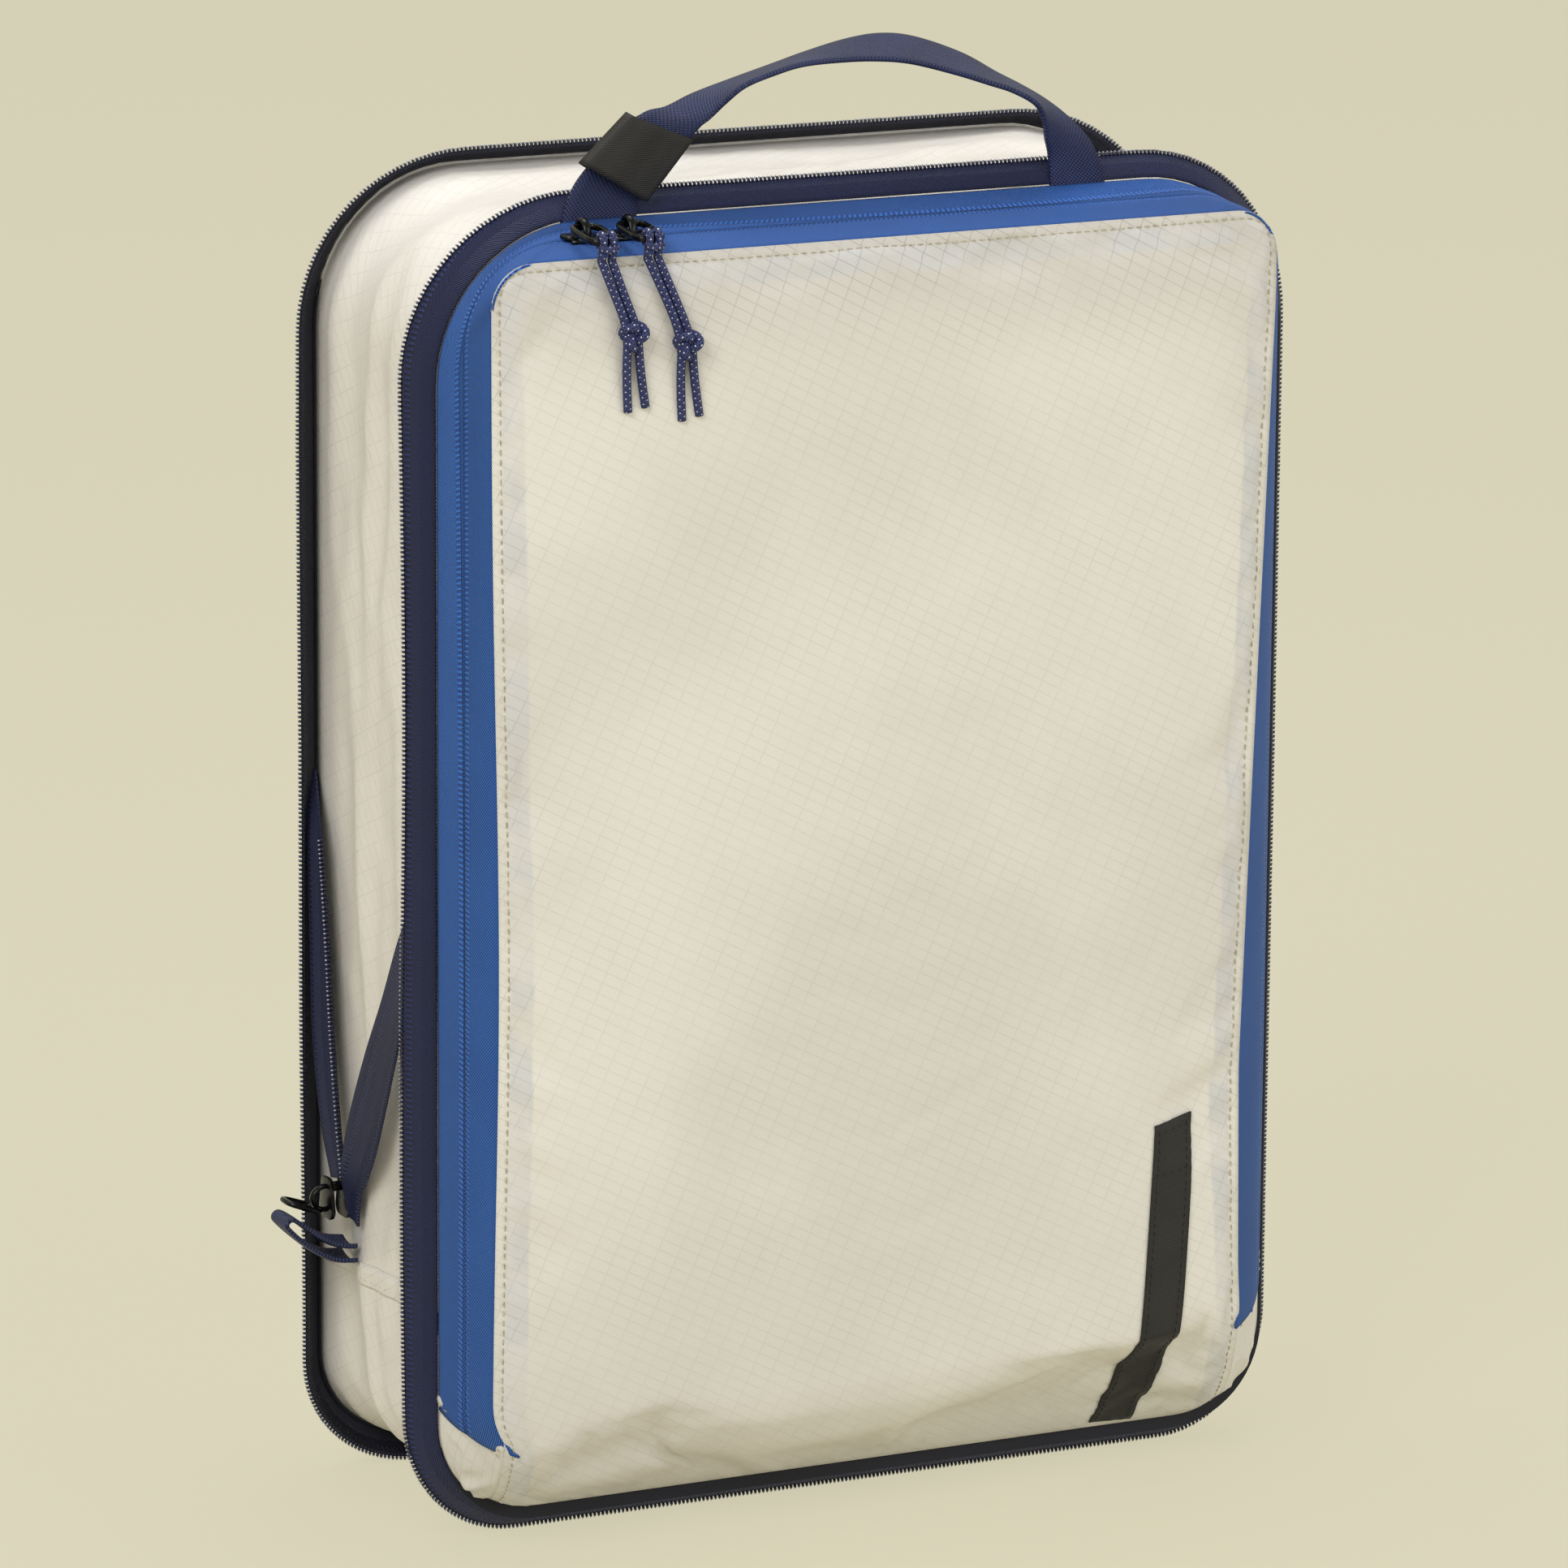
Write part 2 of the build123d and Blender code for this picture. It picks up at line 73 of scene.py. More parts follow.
wall_low, wall_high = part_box("gusset_front_band")
panel_low, panel_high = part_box("front_panel")
SEAM_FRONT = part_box("front_seam_binding")[0][1]
GUSSET_START = wall_low[1]
SEAM_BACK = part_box("gusset_rear_band")[1][1]
PANEL_Y = panel_low[1]
COIL_BACK = middle("back_zip_coil").y
BACK_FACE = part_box("back_panel")[1][1]
WALL = (wall_low[0], wall_high[0], wall_low[2], wall_high[2], 0.027, 0.043)
PANEL = (panel_low[0], panel_high[0], 0.029, panel_high[2], 0.020, 0.0128)
ZIP_SHARE = 0.5                      # the zip line, as a share of the way from the seam to the panel
PATCH_SIDE = 0.115                   # where the corner patches end on the front seam
PANEL_CURL = {-1: 0.0375, 1: 0.047}  # the panel starts to curl back to its seam at these heights
STATIONS = (24, 14, 80, 14, 48, 14, 80, 14, 24)


def ring(outline, y, grow=0.0):
    """Points and outward directions round an outline at one depth, anticlockwise from the bottom middle.

    Every ring has the same stations, so two rings make a wall.
    """
    left, right, low, high, r_low, r_high = outline
    left, low, right, high = left - grow, low - grow, right + grow, high + grow
    r_low, r_high = r_low + grow, r_high + grow
    centre = (left + right) / 2
    marks = []

    def run(a, b, facing, count):
        for step in range(count):
            share = step / count
            marks.append((a[0] + (b[0] - a[0]) * share, a[1] + (b[1] - a[1]) * share, *facing))

    def corner(x, z, radius, start, count):
        for step in range(count):
            turn = math.radians(start + 90 * step / count)
            marks.append((x + radius * math.cos(turn), z + radius * math.sin(turn),
                          math.cos(turn), math.sin(turn)))

    run((centre, low), (right - r_low, low), (0, -1), STATIONS[0])
    corner(right - r_low, low + r_low, r_low, 270, STATIONS[1])
    run((right, low + r_low), (right, high - r_high), (1, 0), STATIONS[2])
    corner(right - r_high, high - r_high, r_high, 0, STATIONS[3])
    run((right - r_high, high), (left + r_high, high), (0, 1), STATIONS[4])
    corner(left + r_high, high - r_high, r_high, 90, STATIONS[5])
    run((left, high - r_high), (left, low + r_low), (-1, 0), STATIONS[6])
    corner(left + r_low, low + r_low, r_low, 180, STATIONS[7])
    run((left + r_low, low), (centre, low), (0, -1), STATIONS[8])
    marks = np.array(marks)
    points = np.stack([marks[:, 0], np.full(len(marks), y), marks[:, 1]], axis=1)
    outward = np.stack([marks[:, 2], np.zeros(len(marks)), marks[:, 3]], axis=1)
    return points, outward


def wall_at(y):
    """The walls' outline at one depth: their top sits a little higher towards the back."""
    share = (y - SEAM_FRONT) / (SEAM_BACK - SEAM_FRONT)
    return (WALL[0] - 0.0018 * (1 - share), WALL[1], WALL[2] + 0.0026 * (1 - share), WALL[3] + 0.0018 + 0.0030 * share, *WALL[4:])


def along(points, station):
    """A point between two stations of a closed ring."""
    low = int(math.floor(station))
    share = station - low
    return points[low % len(points)] * (1 - share) + points[(low + 1) % len(points)] * share


def station_at(points, height, side):
    """The station on the right (1) or left (-1) side at which a ring reaches a height."""
    first = 0 if side > 0 else len(points) // 2
    last = len(points) // 2 if side > 0 else len(points)
    heights = points[first:last, 2]
    stations = np.arange(first, last)
    order = np.argsort(heights, kind="stable")
    return float(np.interp(height, heights[order], stations[order]))


# Meshes -------------------------------------------------------------------------------------------
def adopt(name, mesh, finish):
    mesh.name = name
    piece = bpy.data.objects.new(name, mesh)
    bpy.context.scene.collection.objects.link(piece)
    if finish is not None:
        mesh.materials.clear()
        mesh.materials.append(finish)
    return piece


def settled(piece):
    """Makes a piece's modifiers real."""
    graph = bpy.context.evaluated_depsgraph_get()
    mesh = bpy.data.meshes.new_from_object(piece.evaluated_get(graph))
    if piece.type == "MESH":
        piece.modifiers.clear()
        piece.data = mesh
        return piece
    name, finish = piece.name, piece.data.materials[0] if piece.data.materials else None
    bpy.data.objects.remove(piece)
    return adopt(name, mesh, finish)


def cloth_mesh(name, grid, finish, thick=0.0, closed=False, flip=False):
    """A sheet from a grid of points (rows, columns, 3), with its lengths in metres as the UV map weave.

    Rows run along the sheet, columns across it. closed joins the last row to the first.
    """
    rows, columns = grid.shape[:2]
    spans = rows if closed else rows - 1
    vertices = grid.reshape(-1, 3)
    ahead = np.roll(grid, -1, axis=0)
    steps = np.linalg.norm(ahead[:spans] - grid[:spans], axis=2).mean(axis=1)
    down = np.concatenate([[0.0], np.cumsum(steps)])
    side = np.linalg.norm(grid[:, 1:] - grid[:, :-1], axis=2)
    across = np.concatenate([np.zeros((rows, 1)), np.cumsum(side, axis=1)], axis=1)
    faces, uvs = [], []
    for row in range(spans):
        following = (row + 1) % rows
        for column in range(columns - 1):
            face = [row * columns + column, following * columns + column,
                    following * columns + column + 1, row * columns + column + 1]
            uv = [(down[row], across[row, column]), (down[row + 1], across[following, column]),
                  (down[row + 1], across[following, column + 1]), (down[row], across[row, column + 1])]
            faces.append(face[::-1] if flip else face)
            uvs.extend(uv[::-1] if flip else uv)
    mesh = bpy.data.meshes.new(name)
    mesh.from_pydata(vertices.tolist(), [], faces)
    layer = mesh.uv_layers.new(name="weave")
    layer.data.foreach_set("uv", np.array(uvs, np.float32).ravel())
    mesh.shade_smooth()
    piece = adopt(name, mesh, finish)
    if thick:
        solid = piece.modifiers.new("thickness", "SOLIDIFY")
        solid.thickness, solid.offset, solid.use_even_offset = thick, -1, False
        settled(piece)
    return piece


def joined(name, pieces):
    """Several meshes as one piece."""
    whole = bmesh.new()
    finishes = []
    for piece in pieces:
        finish = piece.data.materials[0]
        if finish not in finishes:
            finishes.append(finish)
        before = len(whole.faces)
        whole.from_mesh(piece.data)
        whole.faces.ensure_lookup_table()
        for face in whole.faces[before:]:
            face.material_index = finishes.index(finish)
    mesh = bpy.data.meshes.new(name)
    whole.to_mesh(mesh)
    whole.free()
    for piece in pieces:
        bpy.data.objects.remove(piece)
    result = adopt(name, mesh, None)
    for finish in finishes:
        mesh.materials.append(finish)
    return result


def route(points):
    """The smooth line of a cord: a NURBS spline that has these as its control points."""
    curve = bpy.data.curves.new("route", "CURVE")
    curve.dimensions = "3D"
    curve.resolution_u = 12
    spline = curve.splines.new("NURBS")
    spline.points.add(len(points) - 1)
    for mark, point in zip(spline.points, points):
        mark.co = (*point, 1)
    spline.order_u = 3
    spline.use_endpoint_u = True
    holder = bpy.data.objects.new("route", curve)
    bpy.context.scene.collection.objects.link(holder)
    graph = bpy.context.evaluated_depsgraph_get()
    mesh = bpy.data.meshes.new_from_object(holder.evaluated_get(graph))
    line = [vertex.co.copy() for vertex in mesh.vertices]
    bpy.data.objects.remove(holder)
    return line


def tube(name, line, radius, finish, closed=False, flat=1.0, facing=None, sides=14):
    """A round or flattened tube along a line. flat is its depth as a share of its width."""
    line = [Vector(point) for point in line]
    count = len(line)
    tangents = []
    for index in range(count):
        before = line[index - 1] if closed or index else line[0]
        after = line[(index + 1) % count] if closed or index < count - 1 else line[-1]
        tangents.append((after - before).normalized())
    side = Vector(facing) if facing else tangents[0].orthogonal()
    rows = []
    travelled = 0.0
    for index, (point, tangent) in enumerate(zip(line, tangents)):
        if facing:
            side = Vector(facing)
        side = (side - tangent * side.dot(tangent)).normalized()
        other = tangent.cross(side)
        rows.append([point + side * math.cos(turn) * radius + other * math.sin(turn) * radius * flat
                     for turn in np.linspace(0, 2 * math.pi, sides, endpoint=False)])
    vertices = [point for row in rows for point in row]
    faces, uvs = [], []
    spans = count if closed else count - 1
    girth = 2 * math.pi * radius
    for row in range(spans):
        following = (row + 1) % count
        length = (line[following] - line[row]).length
        for column in range(sides):
            beside = (column + 1) % sides
            faces.append([row * sides + column, row * sides + beside, following * sides + beside,
                          following * sides + column])
            u0, u1 = girth * column / sides, girth * (column + 1) / sides
            uvs.extend([(travelled, u0), (travelled, u1), (travelled + length, u1),
                        (travelled + length, u0)])
        travelled += length
    if not closed:
        for end, tangent, first in ((0, -tangents[0], True), (count - 1, tangents[-1], False)):
            tip = len(vertices)
            vertices.append(line[end] + tangent * radius * 0.35)
            for column in range(sides):
                beside = (column + 1) % sides
                corners = [end * sides + column, end * sides + beside, tip]
                faces.append(corners[::-1] if first else corners)
                uvs.extend([(0.0, 0.0)] * 3)
    mesh = bpy.data.meshes.new(name)
    mesh.from_pydata([tuple(vertex) for vertex in vertices], [], faces)
    mesh.uv_layers.new(name="weave").data.foreach_set("uv", np.array(uvs, np.float32).ravel())
    mesh.shade_smooth()
    return adopt(name, mesh, finish)


def plate(name, outline_points, place, thick, finish, soften=0.3 * MM):
    """A plate with softened edges: its outline (x, y) is put in place by a matrix."""
    shape = bmesh.new()
    face = shape.faces.new([shape.verts.new((x, y, 0)) for x, y in outline_points])
    grown = bmesh.ops.extrude_face_region(shape, geom=[face])
    bmesh.ops.translate(shape, vec=(0, 0, thick),
                        verts=[item for item in grown["geom"] if isinstance(item, bmesh.types.BMVert)])
    bmesh.ops.recalc_face_normals(shape, faces=shape.faces[:])
    bmesh.ops.transform(shape, matrix=place, verts=shape.verts[:])
    mesh = bpy.data.meshes.new(name)
    shape.to_mesh(mesh)
    shape.free()
    piece = adopt(name, mesh, finish)
    bevel = piece.modifiers.new("edge", "BEVEL")
    bevel.width, bevel.segments, bevel.limit_method = soften, 3, "ANGLE"
    settled(piece)
    piece.data.shade_smooth()
    return piece


# Things that repeat -------------------------------------------------------------------------------
def bead_tree():
    """Beads at an even pitch along a path: coil teeth, or the stitches of a seam."""
    tree = bpy.data.node_groups.new("beads_along_path", "GeometryNodeTree")
    sockets = tree.interface
    sockets.new_socket("Path", in_out="INPUT", socket_type="NodeSocketGeometry")
    for label in ("Pitch", "Length", "Width", "Depth", "Unevenness"):
        sockets.new_socket(label, in_out="INPUT", socket_type="NodeSocketFloat")
    sockets.new_socket("Seed", in_out="INPUT", socket_type="NodeSocketInt")
    sockets.new_socket("Finish", in_out="INPUT", socket_type="NodeSocketMaterial")
    sockets.new_socket("Geometry", in_out="OUTPUT", socket_type="NodeSocketGeometry")
    add, link = tree.nodes.new, tree.links.new
    start, end = add("NodeGroupInput"), add("NodeGroupOutput")
    points = add("GeometryNodeCurveToPoints")
    points.mode = "LENGTH"
    bead = add("GeometryNodeMeshUVSphere")
    bead.inputs["Segments"].default_value = 8
    bead.inputs["Rings"].default_value = 5
    bead.inputs["Radius"].default_value = 0.5
    size = add("ShaderNodeCombineXYZ")
    uneven = add("FunctionNodeRandomValue")
    uneven.data_type = "FLOAT"
    least = add("ShaderNodeMath")
    least.operation = "SUBTRACT"
    least.inputs[0].default_value = 1.0
    scaled = add("ShaderNodeVectorMath")
    scaled.operation = "SCALE"
    placed, real = add("GeometryNodeInstanceOnPoints"), add("GeometryNodeRealizeInstances")
    smooth, painted = add("GeometryNodeSetShadeSmooth"), add("GeometryNodeSetMaterial")
    link(start.outputs["Path"], points.inputs["Curve"])
    link(start.outputs["Pitch"], points.inputs["Length"])
    link(start.outputs["Width"], size.inputs[0])
    link(start.outputs["Depth"], size.inputs[1])
    link(start.outputs["Length"], size.inputs[2])
    link(start.outputs["Unevenness"], least.inputs[1])
    link(least.outputs[0], uneven.inputs[2])
    uneven.inputs[3].default_value = 1.0
    link(start.outputs["Seed"], uneven.inputs["Seed"])
    link(size.outputs[0], scaled.inputs[0])
    link(uneven.outputs[1], scaled.inputs["Scale"])
    link(points.outputs["Points"], placed.inputs["Points"])
    link(bead.outputs["Mesh"], placed.inputs["Instance"])
    link(points.outputs["Rotation"], placed.inputs["Rotation"])
    link(scaled.outputs[0], placed.inputs["Scale"])
    link(placed.outputs["Instances"], real.inputs[0])
    link(real.outputs[0], smooth.inputs[0])
    link(smooth.outputs[0], painted.inputs["Geometry"])
    link(start.outputs["Finish"], painted.inputs["Material"])
    link(painted.outputs[0], end.inputs[0])
    return tree


BEADS = bead_tree()


def beads(name, lines, pitch, size, finish, closed=False, unevenness=0.1, seed=3):
    """Runs beads of (length, width, depth) along one or more lines, as one plain mesh."""
    curve = bpy.data.curves.new(name, "CURVE")
    curve.dimensions = "3D"
    for line in lines:
        spline = curve.splines.new("POLY")
        spline.points.add(len(line) - 1)
        for mark, point in zip(spline.points, line):
            mark.co = (*point, 1)
        spline.use_cyclic_u = closed
    piece = bpy.data.objects.new(name, curve)
    bpy.context.scene.collection.objects.link(piece)
    maker = piece.modifiers.new("beads", "NODES")
    maker.node_group = BEADS
    values = {"Pitch": pitch, "Length": size[0], "Width": size[1], "Depth": size[2],
              "Unevenness": unevenness, "Seed": seed, "Finish": finish}
    for item in BEADS.interface.items_tree:
        if item.item_type == "SOCKET" and item.in_out == "INPUT" and item.name in values:
            maker[item.identifier] = values[item.name]
    graph = bpy.context.evaluated_depsgraph_get()
    mesh = bpy.data.meshes.new_from_object(piece.evaluated_get(graph))
    bpy.data.objects.remove(piece)
    return adopt(name, mesh, finish)


# Finishes -----------------------------------------------------------------------------------------
def srgb(red, green, blue):
    return tuple(((c / 255 + 0.055) / 1.055) ** 2.4 if c > 10 else c / 255 / 12.92
                 for c in (red, green, blue)) + (1.0,)


class Tone:
    """One value in a material. Python's operators add Math nodes to it."""

    def __init__(self, finish, socket):
        self.finish, self.socket = finish, socket

    def __add__(self, other):
        return self.finish.math("ADD", self, other)

    def __sub__(self, other):
        return self.finish.math("SUBTRACT", self, other)

    def __mul__(self, other):
        return self.finish.math("MULTIPLY", self, other)

    def __truediv__(self, other):
        return self.finish.math("DIVIDE", self, other)

    def __rsub__(self, other):
        return self.finish.math("SUBTRACT", other, self)

    def __rtruediv__(self, other):
        return self.finish.math("DIVIDE", other, self)

    def __abs__(self):
        return self.finish.math("ABSOLUTE", self)

    __radd__, __rmul__ = __add__, __mul__


class Finish:
    """Builds one material on the Principled shader."""

    def __init__(self, name, roughness=0.6, **fixed):
        self.material = bpy.data.materials.new(name)
        self.material.use_nodes = True
        self.tree = self.material.node_tree
        self.shader = self.tree.nodes["Principled BSDF"]
        self.shader.inputs["Roughness"].default_value = roughness
        for socket, value in fixed.items():
            self.shader.inputs[socket.replace("_", " ")].default_value = value

    def node(self, kind, settings, sockets, output=0):
        """Adds a node: its settings, then its sockets' values or links. Gives one output as a Tone."""
        made = self.tree.nodes.new(kind)
        for key, value in settings.items():
            setattr(made, key, value)
        for key, value in sockets.items():
            if isinstance(value, Tone):
                self.tree.links.new(value.socket, made.inputs[key])
            else:
                made.inputs[key].default_value = value
        return Tone(self, made.outputs[output])

    def math(self, operation, *values):
        return self.node("ShaderNodeMath", {"operation": operation}, dict(enumerate(values)))

    def place(self):
        """Object coordinates, whole and as x, y, z."""
        whole = self.node("ShaderNodeTexCoord", {}, {}, "Object")
        return whole, *(self.node("ShaderNodeSeparateXYZ", {}, {0: whole}, axis) for axis in "XYZ")

    def weave(self):
        """The lengths along and across the sheet, in metres, and both as a vector."""
        whole = self.node("ShaderNodeUVMap", {"uv_map": "weave"}, {})
        return whole, *(self.node("ShaderNodeSeparateXYZ", {}, {0: whole}, axis) for axis in "XY")

    def cloud(self, place, scale, detail=3.0, stretch=None):
        if stretch:
            place = self.node("ShaderNodeMapping", {}, {"Vector": place, "Scale": stretch})
        return self.node("ShaderNodeTexNoise", {}, {"Vector": place, "Scale": scale, "Detail": detail})

    def ease(self, value, low, high):
        """0 below low, 1 above high, smooth between."""
        return self.node("ShaderNodeMapRange", {"interpolation_type": "SMOOTHSTEP"},
                         {"Value": value, "From Min": low, "From Max": high})

    def wave(self, phase):
        """A 0 to 1 wave with one crest for every whole number."""
        return self.math("SINE", phase * (2 * math.pi)) * 0.5 + 0.5

    def near(self, value, centre, half, soft):
        """1 within half of centre, falling to 0 over soft."""
        return 1 - self.ease(abs(value - centre), half, half + soft)

    def fold(self, value, width):
        return self.math("PINGPONG", value, width)

    def mix(self, share, first, second):
        return self.node("ShaderNodeMix", {"data_type": "RGBA"}, {0: share, 6: first, 7: second}, 2)

    def paint(self, colour=None, roughness=None, metallic=None, height=None, distance=0.0001, strength=1.0):
        """Links what varies to the shader."""
        links = {"Base Color": colour, "Roughness": roughness, "Metallic": metallic}
        if height is not None:
            links["Normal"] = self.node("ShaderNodeBump", {}, {"Strength": strength, "Distance": distance,
                                                              "Height": height})
        for key, value in links.items():
            if value is not None:
                self.tree.links.new(value.socket, self.shader.inputs[key])
        return self.material


CREAM, SHADE = srgb(228, 224, 215), srgb(217, 212, 204)
GRID, GREYED = srgb(150, 147, 147), srgb(200, 195, 187)


def ripstop(name, flat_on, light=CREAM, dark=SHADE, hem=False, rough=0.42):
    """Thin coated cloth with a diamond grid of thicker yarns. flat_on gives the two lengths."""
    cloth = Finish(name, 0.5)
    whole, x, y, z = cloth.place()
    first, second = cloth.weave()[1:] if flat_on == "weave" else (x, z)
    steep = cloth.fold(first * 0.906 - second * 0.423, 0.0030)
    shallow = cloth.fold(first * 0.469 + second * 0.883, 0.0015)
    grid = cloth.math("MAXIMUM", 1 - cloth.ease(steep, 0.00004, 0.00017), 1 - cloth.ease(shallow, 0.00004, 0.00014))
    clouds = cloth.cloud(whole, 9.0, 4.0)
    fibres = cloth.cloud(whole, 900.0, 2.0)
    mottle = cloth.cloud(whole, 60.0, 3.0)
    body = cloth.mix(cloth.ease(clouds, 0.36, 0.66), dark, light)
    shown = 0.05 + 0.08 * cloth.ease(mottle, 0.45, 0.62)
    if hem:
        edge = cloth.node("ShaderNodeAttribute", {"attribute_name": "edge"}, {}, "Fac")
        # Partly the doubled cloth seen through the thin ripstop and partly painted shade: the front greys towards its
        # top, and its grid shows more there and near its edges.
        top = cloth.ease(z, 0.322, 0.362) * cloth.ease(clouds, 0.3, 0.6)
        border = 1 - cloth.ease(edge, 0.004, 0.020)
        body = cloth.mix(top * 0.85, body, GREYED)
        body = cloth.mix(cloth.near(edge, 0.0066, 0.0026, 0.0012) * (0.3 + 0.5 * cloth.ease(mottle, 0.4, 0.62)), body,
                         srgb(204, 203, 204))
        shown = shown + (top * 0.34 + border * 0.12) * cloth.ease(mottle, 0.36, 0.6)
    body = cloth.mix(grid * shown, body, GRID)
    height = grid * 0.25 + fibres * 0.5 + mottle * 0.5
    return cloth.paint(colour=body, roughness=rough + 0.2 * fibres, height=height, distance=0.0002)


def tape(name, light, dark, apex, columns, slope=1.5, pitch=0.0010, line=None, turned=1):
    """Zipper tape: chevron ribs that meet at apex across it, and chain-stitched columns; where line is given, a
    painted shadow runs along it.
    """
    cloth = Finish(name, 0.62)
    _, u, v = cloth.weave()
    whole, *_ = cloth.place()
    ribs = cloth.wave((u * turned + abs(v - apex) * slope) / pitch)
    chain = cloth.wave(u / (pitch * 1.5))
    colour = cloth.mix(cloth.ease(ribs, 0.25, 0.6), dark, light)
    height = ribs
    for centre in columns:
        mask = cloth.near(v, centre, 0.00035, 0.00025)
        colour = cloth.mix(mask, colour, cloth.mix(cloth.ease(chain, 0.35, 0.7), dark, light))
        height = height * (1 - mask) + chain * mask * 1.3
    if line is not None:
        # Painted shadow: a dark line along the edge where the two tapes meet.
        meeting_shadow = cloth.near(v, line, 0.00012, 0.0001)
        colour = cloth.mix(meeting_shadow * 0.9, colour, srgb(12, 24, 60))
    fade = cloth.cloud(whole, 40.0, 3.0)
    colour = cloth.mix(0.18 * cloth.ease(fade, 0.35, 0.7), colour, light)
    return cloth.paint(colour=colour, roughness=0.5 + 0.25 * (1 - ribs), height=height, distance=0.00045)


def webbing_finish():
    """Plain-woven webbing: short diagonal yarns with firm edges."""
    cloth = Finish("navy_webbing_weave", 0.6)
    whole, *_ = cloth.place()
    _, u, v = cloth.weave()
    rise, fall = cloth.wave((u + v * 0.9) / 0.0011), cloth.wave((u - v * 0.9) / 0.0011)
    knit = cloth.math("MAXIMUM", rise, fall) * 0.7 + rise * fall * 0.6
    colour = cloth.mix(cloth.ease(knit, 0.35, 1.0), srgb(14, 19, 48), srgb(36, 48, 98))
    fade = cloth.cloud(whole, 60.0, 3.0)
    colour = cloth.mix(0.25 * cloth.ease(fade, 0.4, 0.7), colour, srgb(46, 60, 112))
    return cloth.paint(colour=colour, roughness=0.5 + 0.3 * (1 - knit), height=knit, distance=0.0002)


def coil_finish(name, body, shine):
    """Nylon monofilament: smooth, with dull specks where it is wound."""
    nylon = Finish(name, 0.3, Specular_IOR_Level=0.6)
    whole, *_ = nylon.place()
    grain = nylon.cloud(whole, 1400.0, 2.0)
    colour = nylon.mix(nylon.ease(grain, 0.45, 0.8), body, shine)
    return nylon.paint(colour=colour, roughness=0.24 + 0.2 * grain, height=grain, distance=0.00005)


def metal_finish():
    """Dark plated zinc, brighter where it is rubbed."""
    zinc = Finish("gunmetal_plate", 0.25, Metallic=0.85)
    whole, *_ = zinc.place()
    worn = zinc.ease(zinc.cloud(whole, 420.0, 4.0), 0.5, 0.8)
    colour = zinc.mix(worn * 0.5, srgb(30, 31, 34), srgb(96, 97, 100))
    return zinc.paint(colour=colour, roughness=0.2 + 0.2 * worn, height=worn, distance=0.00003)


def braid_finish():
    """Navy braided cord with white flecks where the marker yarns surface."""
    cord = Finish("flecked_braid", 0.6)
    _, u, v = cord.weave()
    rise, fall = cord.wave(u / 0.0019 + v / 0.00251), cord.wave(u / 0.0019 - v / 0.00251)
    yarns = cord.math("MAXIMUM", cord.wave(u / 0.00095 + v / 0.001256), cord.wave(u / 0.00095 - v / 0.001256))
    fleck = cord.ease(rise * fall, 0.80, 0.92)
    colour = cord.mix(cord.ease(yarns, 0.4, 0.95), srgb(20, 25, 60), srgb(44, 54, 112))
    colour = cord.mix(fleck, colour, srgb(236, 237, 244))
    return cord.paint(colour=colour, roughness=0.5 + 0.25 * (1 - yarns), height=yarns, distance=0.00025)


def label_finish():
    """Black woven label cloth, left bare."""
    cloth = Finish("black_label_weave", 0.62)
    whole, x, y, z = cloth.place()
    ribs = cloth.wave(z / 0.00055) * 0.6 + cloth.wave(x / 0.00045) * 0.4
    fade = cloth.cloud(whole, 80.0, 4.0)
    colour = cloth.mix(cloth.ease(fade, 0.35, 0.7) * 0.6 + ribs * 0.3, srgb(20, 19, 18), srgb(38, 36, 34))
    return cloth.paint(colour=colour, roughness=0.55 + 0.2 * fade, height=ribs, distance=0.00012)


def thread_finish(name, light, dark):
    thread = Finish(name, 0.55)
    whole, *_ = thread.place()
    ply = thread.cloud(whole, 1500.0, 2.0)
    return thread.paint(colour=thread.mix(thread.ease(ply, 0.35, 0.7), dark, light),
                        roughness=0.5 + 0.2 * ply, height=ply, distance=0.00008)


FRONT_CLOTH = ripstop("front_ripstop", "front", hem=True)
WALL_CLOTH = ripstop("wall_ripstop", "weave", srgb(236, 231, 222), srgb(226, 220, 211), rough=0.34)
BACK_CLOTH = ripstop("back_ripstop", "front")
BLUE, BLUE_DEEP = srgb(54, 120, 210), srgb(20, 66, 150)
NAVY, NAVY_DEEP = srgb(36, 46, 98), srgb(14, 18, 46)
BLUE_OUTER = tape("blue_outer_tape", BLUE, BLUE_DEEP, 0.0132, (0.0118, 0.0128), line=0.0136)
BLUE_INNER = tape("blue_inner_tape", BLUE, BLUE_DEEP, 0.0, (0.0008, 0.0019), line=0.0)
NAVY_TAPE = tape("navy_flange_tape", NAVY, NAVY_DEEP, 0.0045, (0.0082, 0.0093))
# Painted shade: a darker copy of the navy tape, for the back flange's inner face and the seam bindings, which sit in
# shadow.
NAVY_SHADED = tape("navy_tape_painted_shade", srgb(26, 31, 62), srgb(10, 12, 28), 0.0045, (0.0075,))
NAVY_TAIL = tape("navy_tail_tape", srgb(34, 43, 92), NAVY_DEEP, 0.0045, (0.0009, 0.0100, 0.0112))
WEBBING = webbing_finish()
COIL = coil_finish("navy_coil_nylon", srgb(16, 19, 42), srgb(58, 66, 108))
# A painted highlight: a pale nylon finish for beads that stand for the glints on the teeth's crowns.
COIL_PAINTED_HIGHLIGHT = coil_finish("coil_highlights", srgb(150, 152, 168), srgb(236, 236, 240))
COIL_BLUE = coil_finish("blue_coil_nylon", srgb(26, 70, 150), srgb(60, 120, 205))
METAL = metal_finish()
BRAID = braid_finish()
LABEL = label_finish()
THREAD_CREAM = thread_finish("cream_thread", srgb(206, 198, 172), srgb(150, 142, 118))
THREAD_NAVY = thread_finish("navy_thread", srgb(52, 66, 124), srgb(22, 28, 66))
THREAD_BLACK = thread_finish("black_thread", srgb(52, 49, 47), srgb(18, 17, 16))

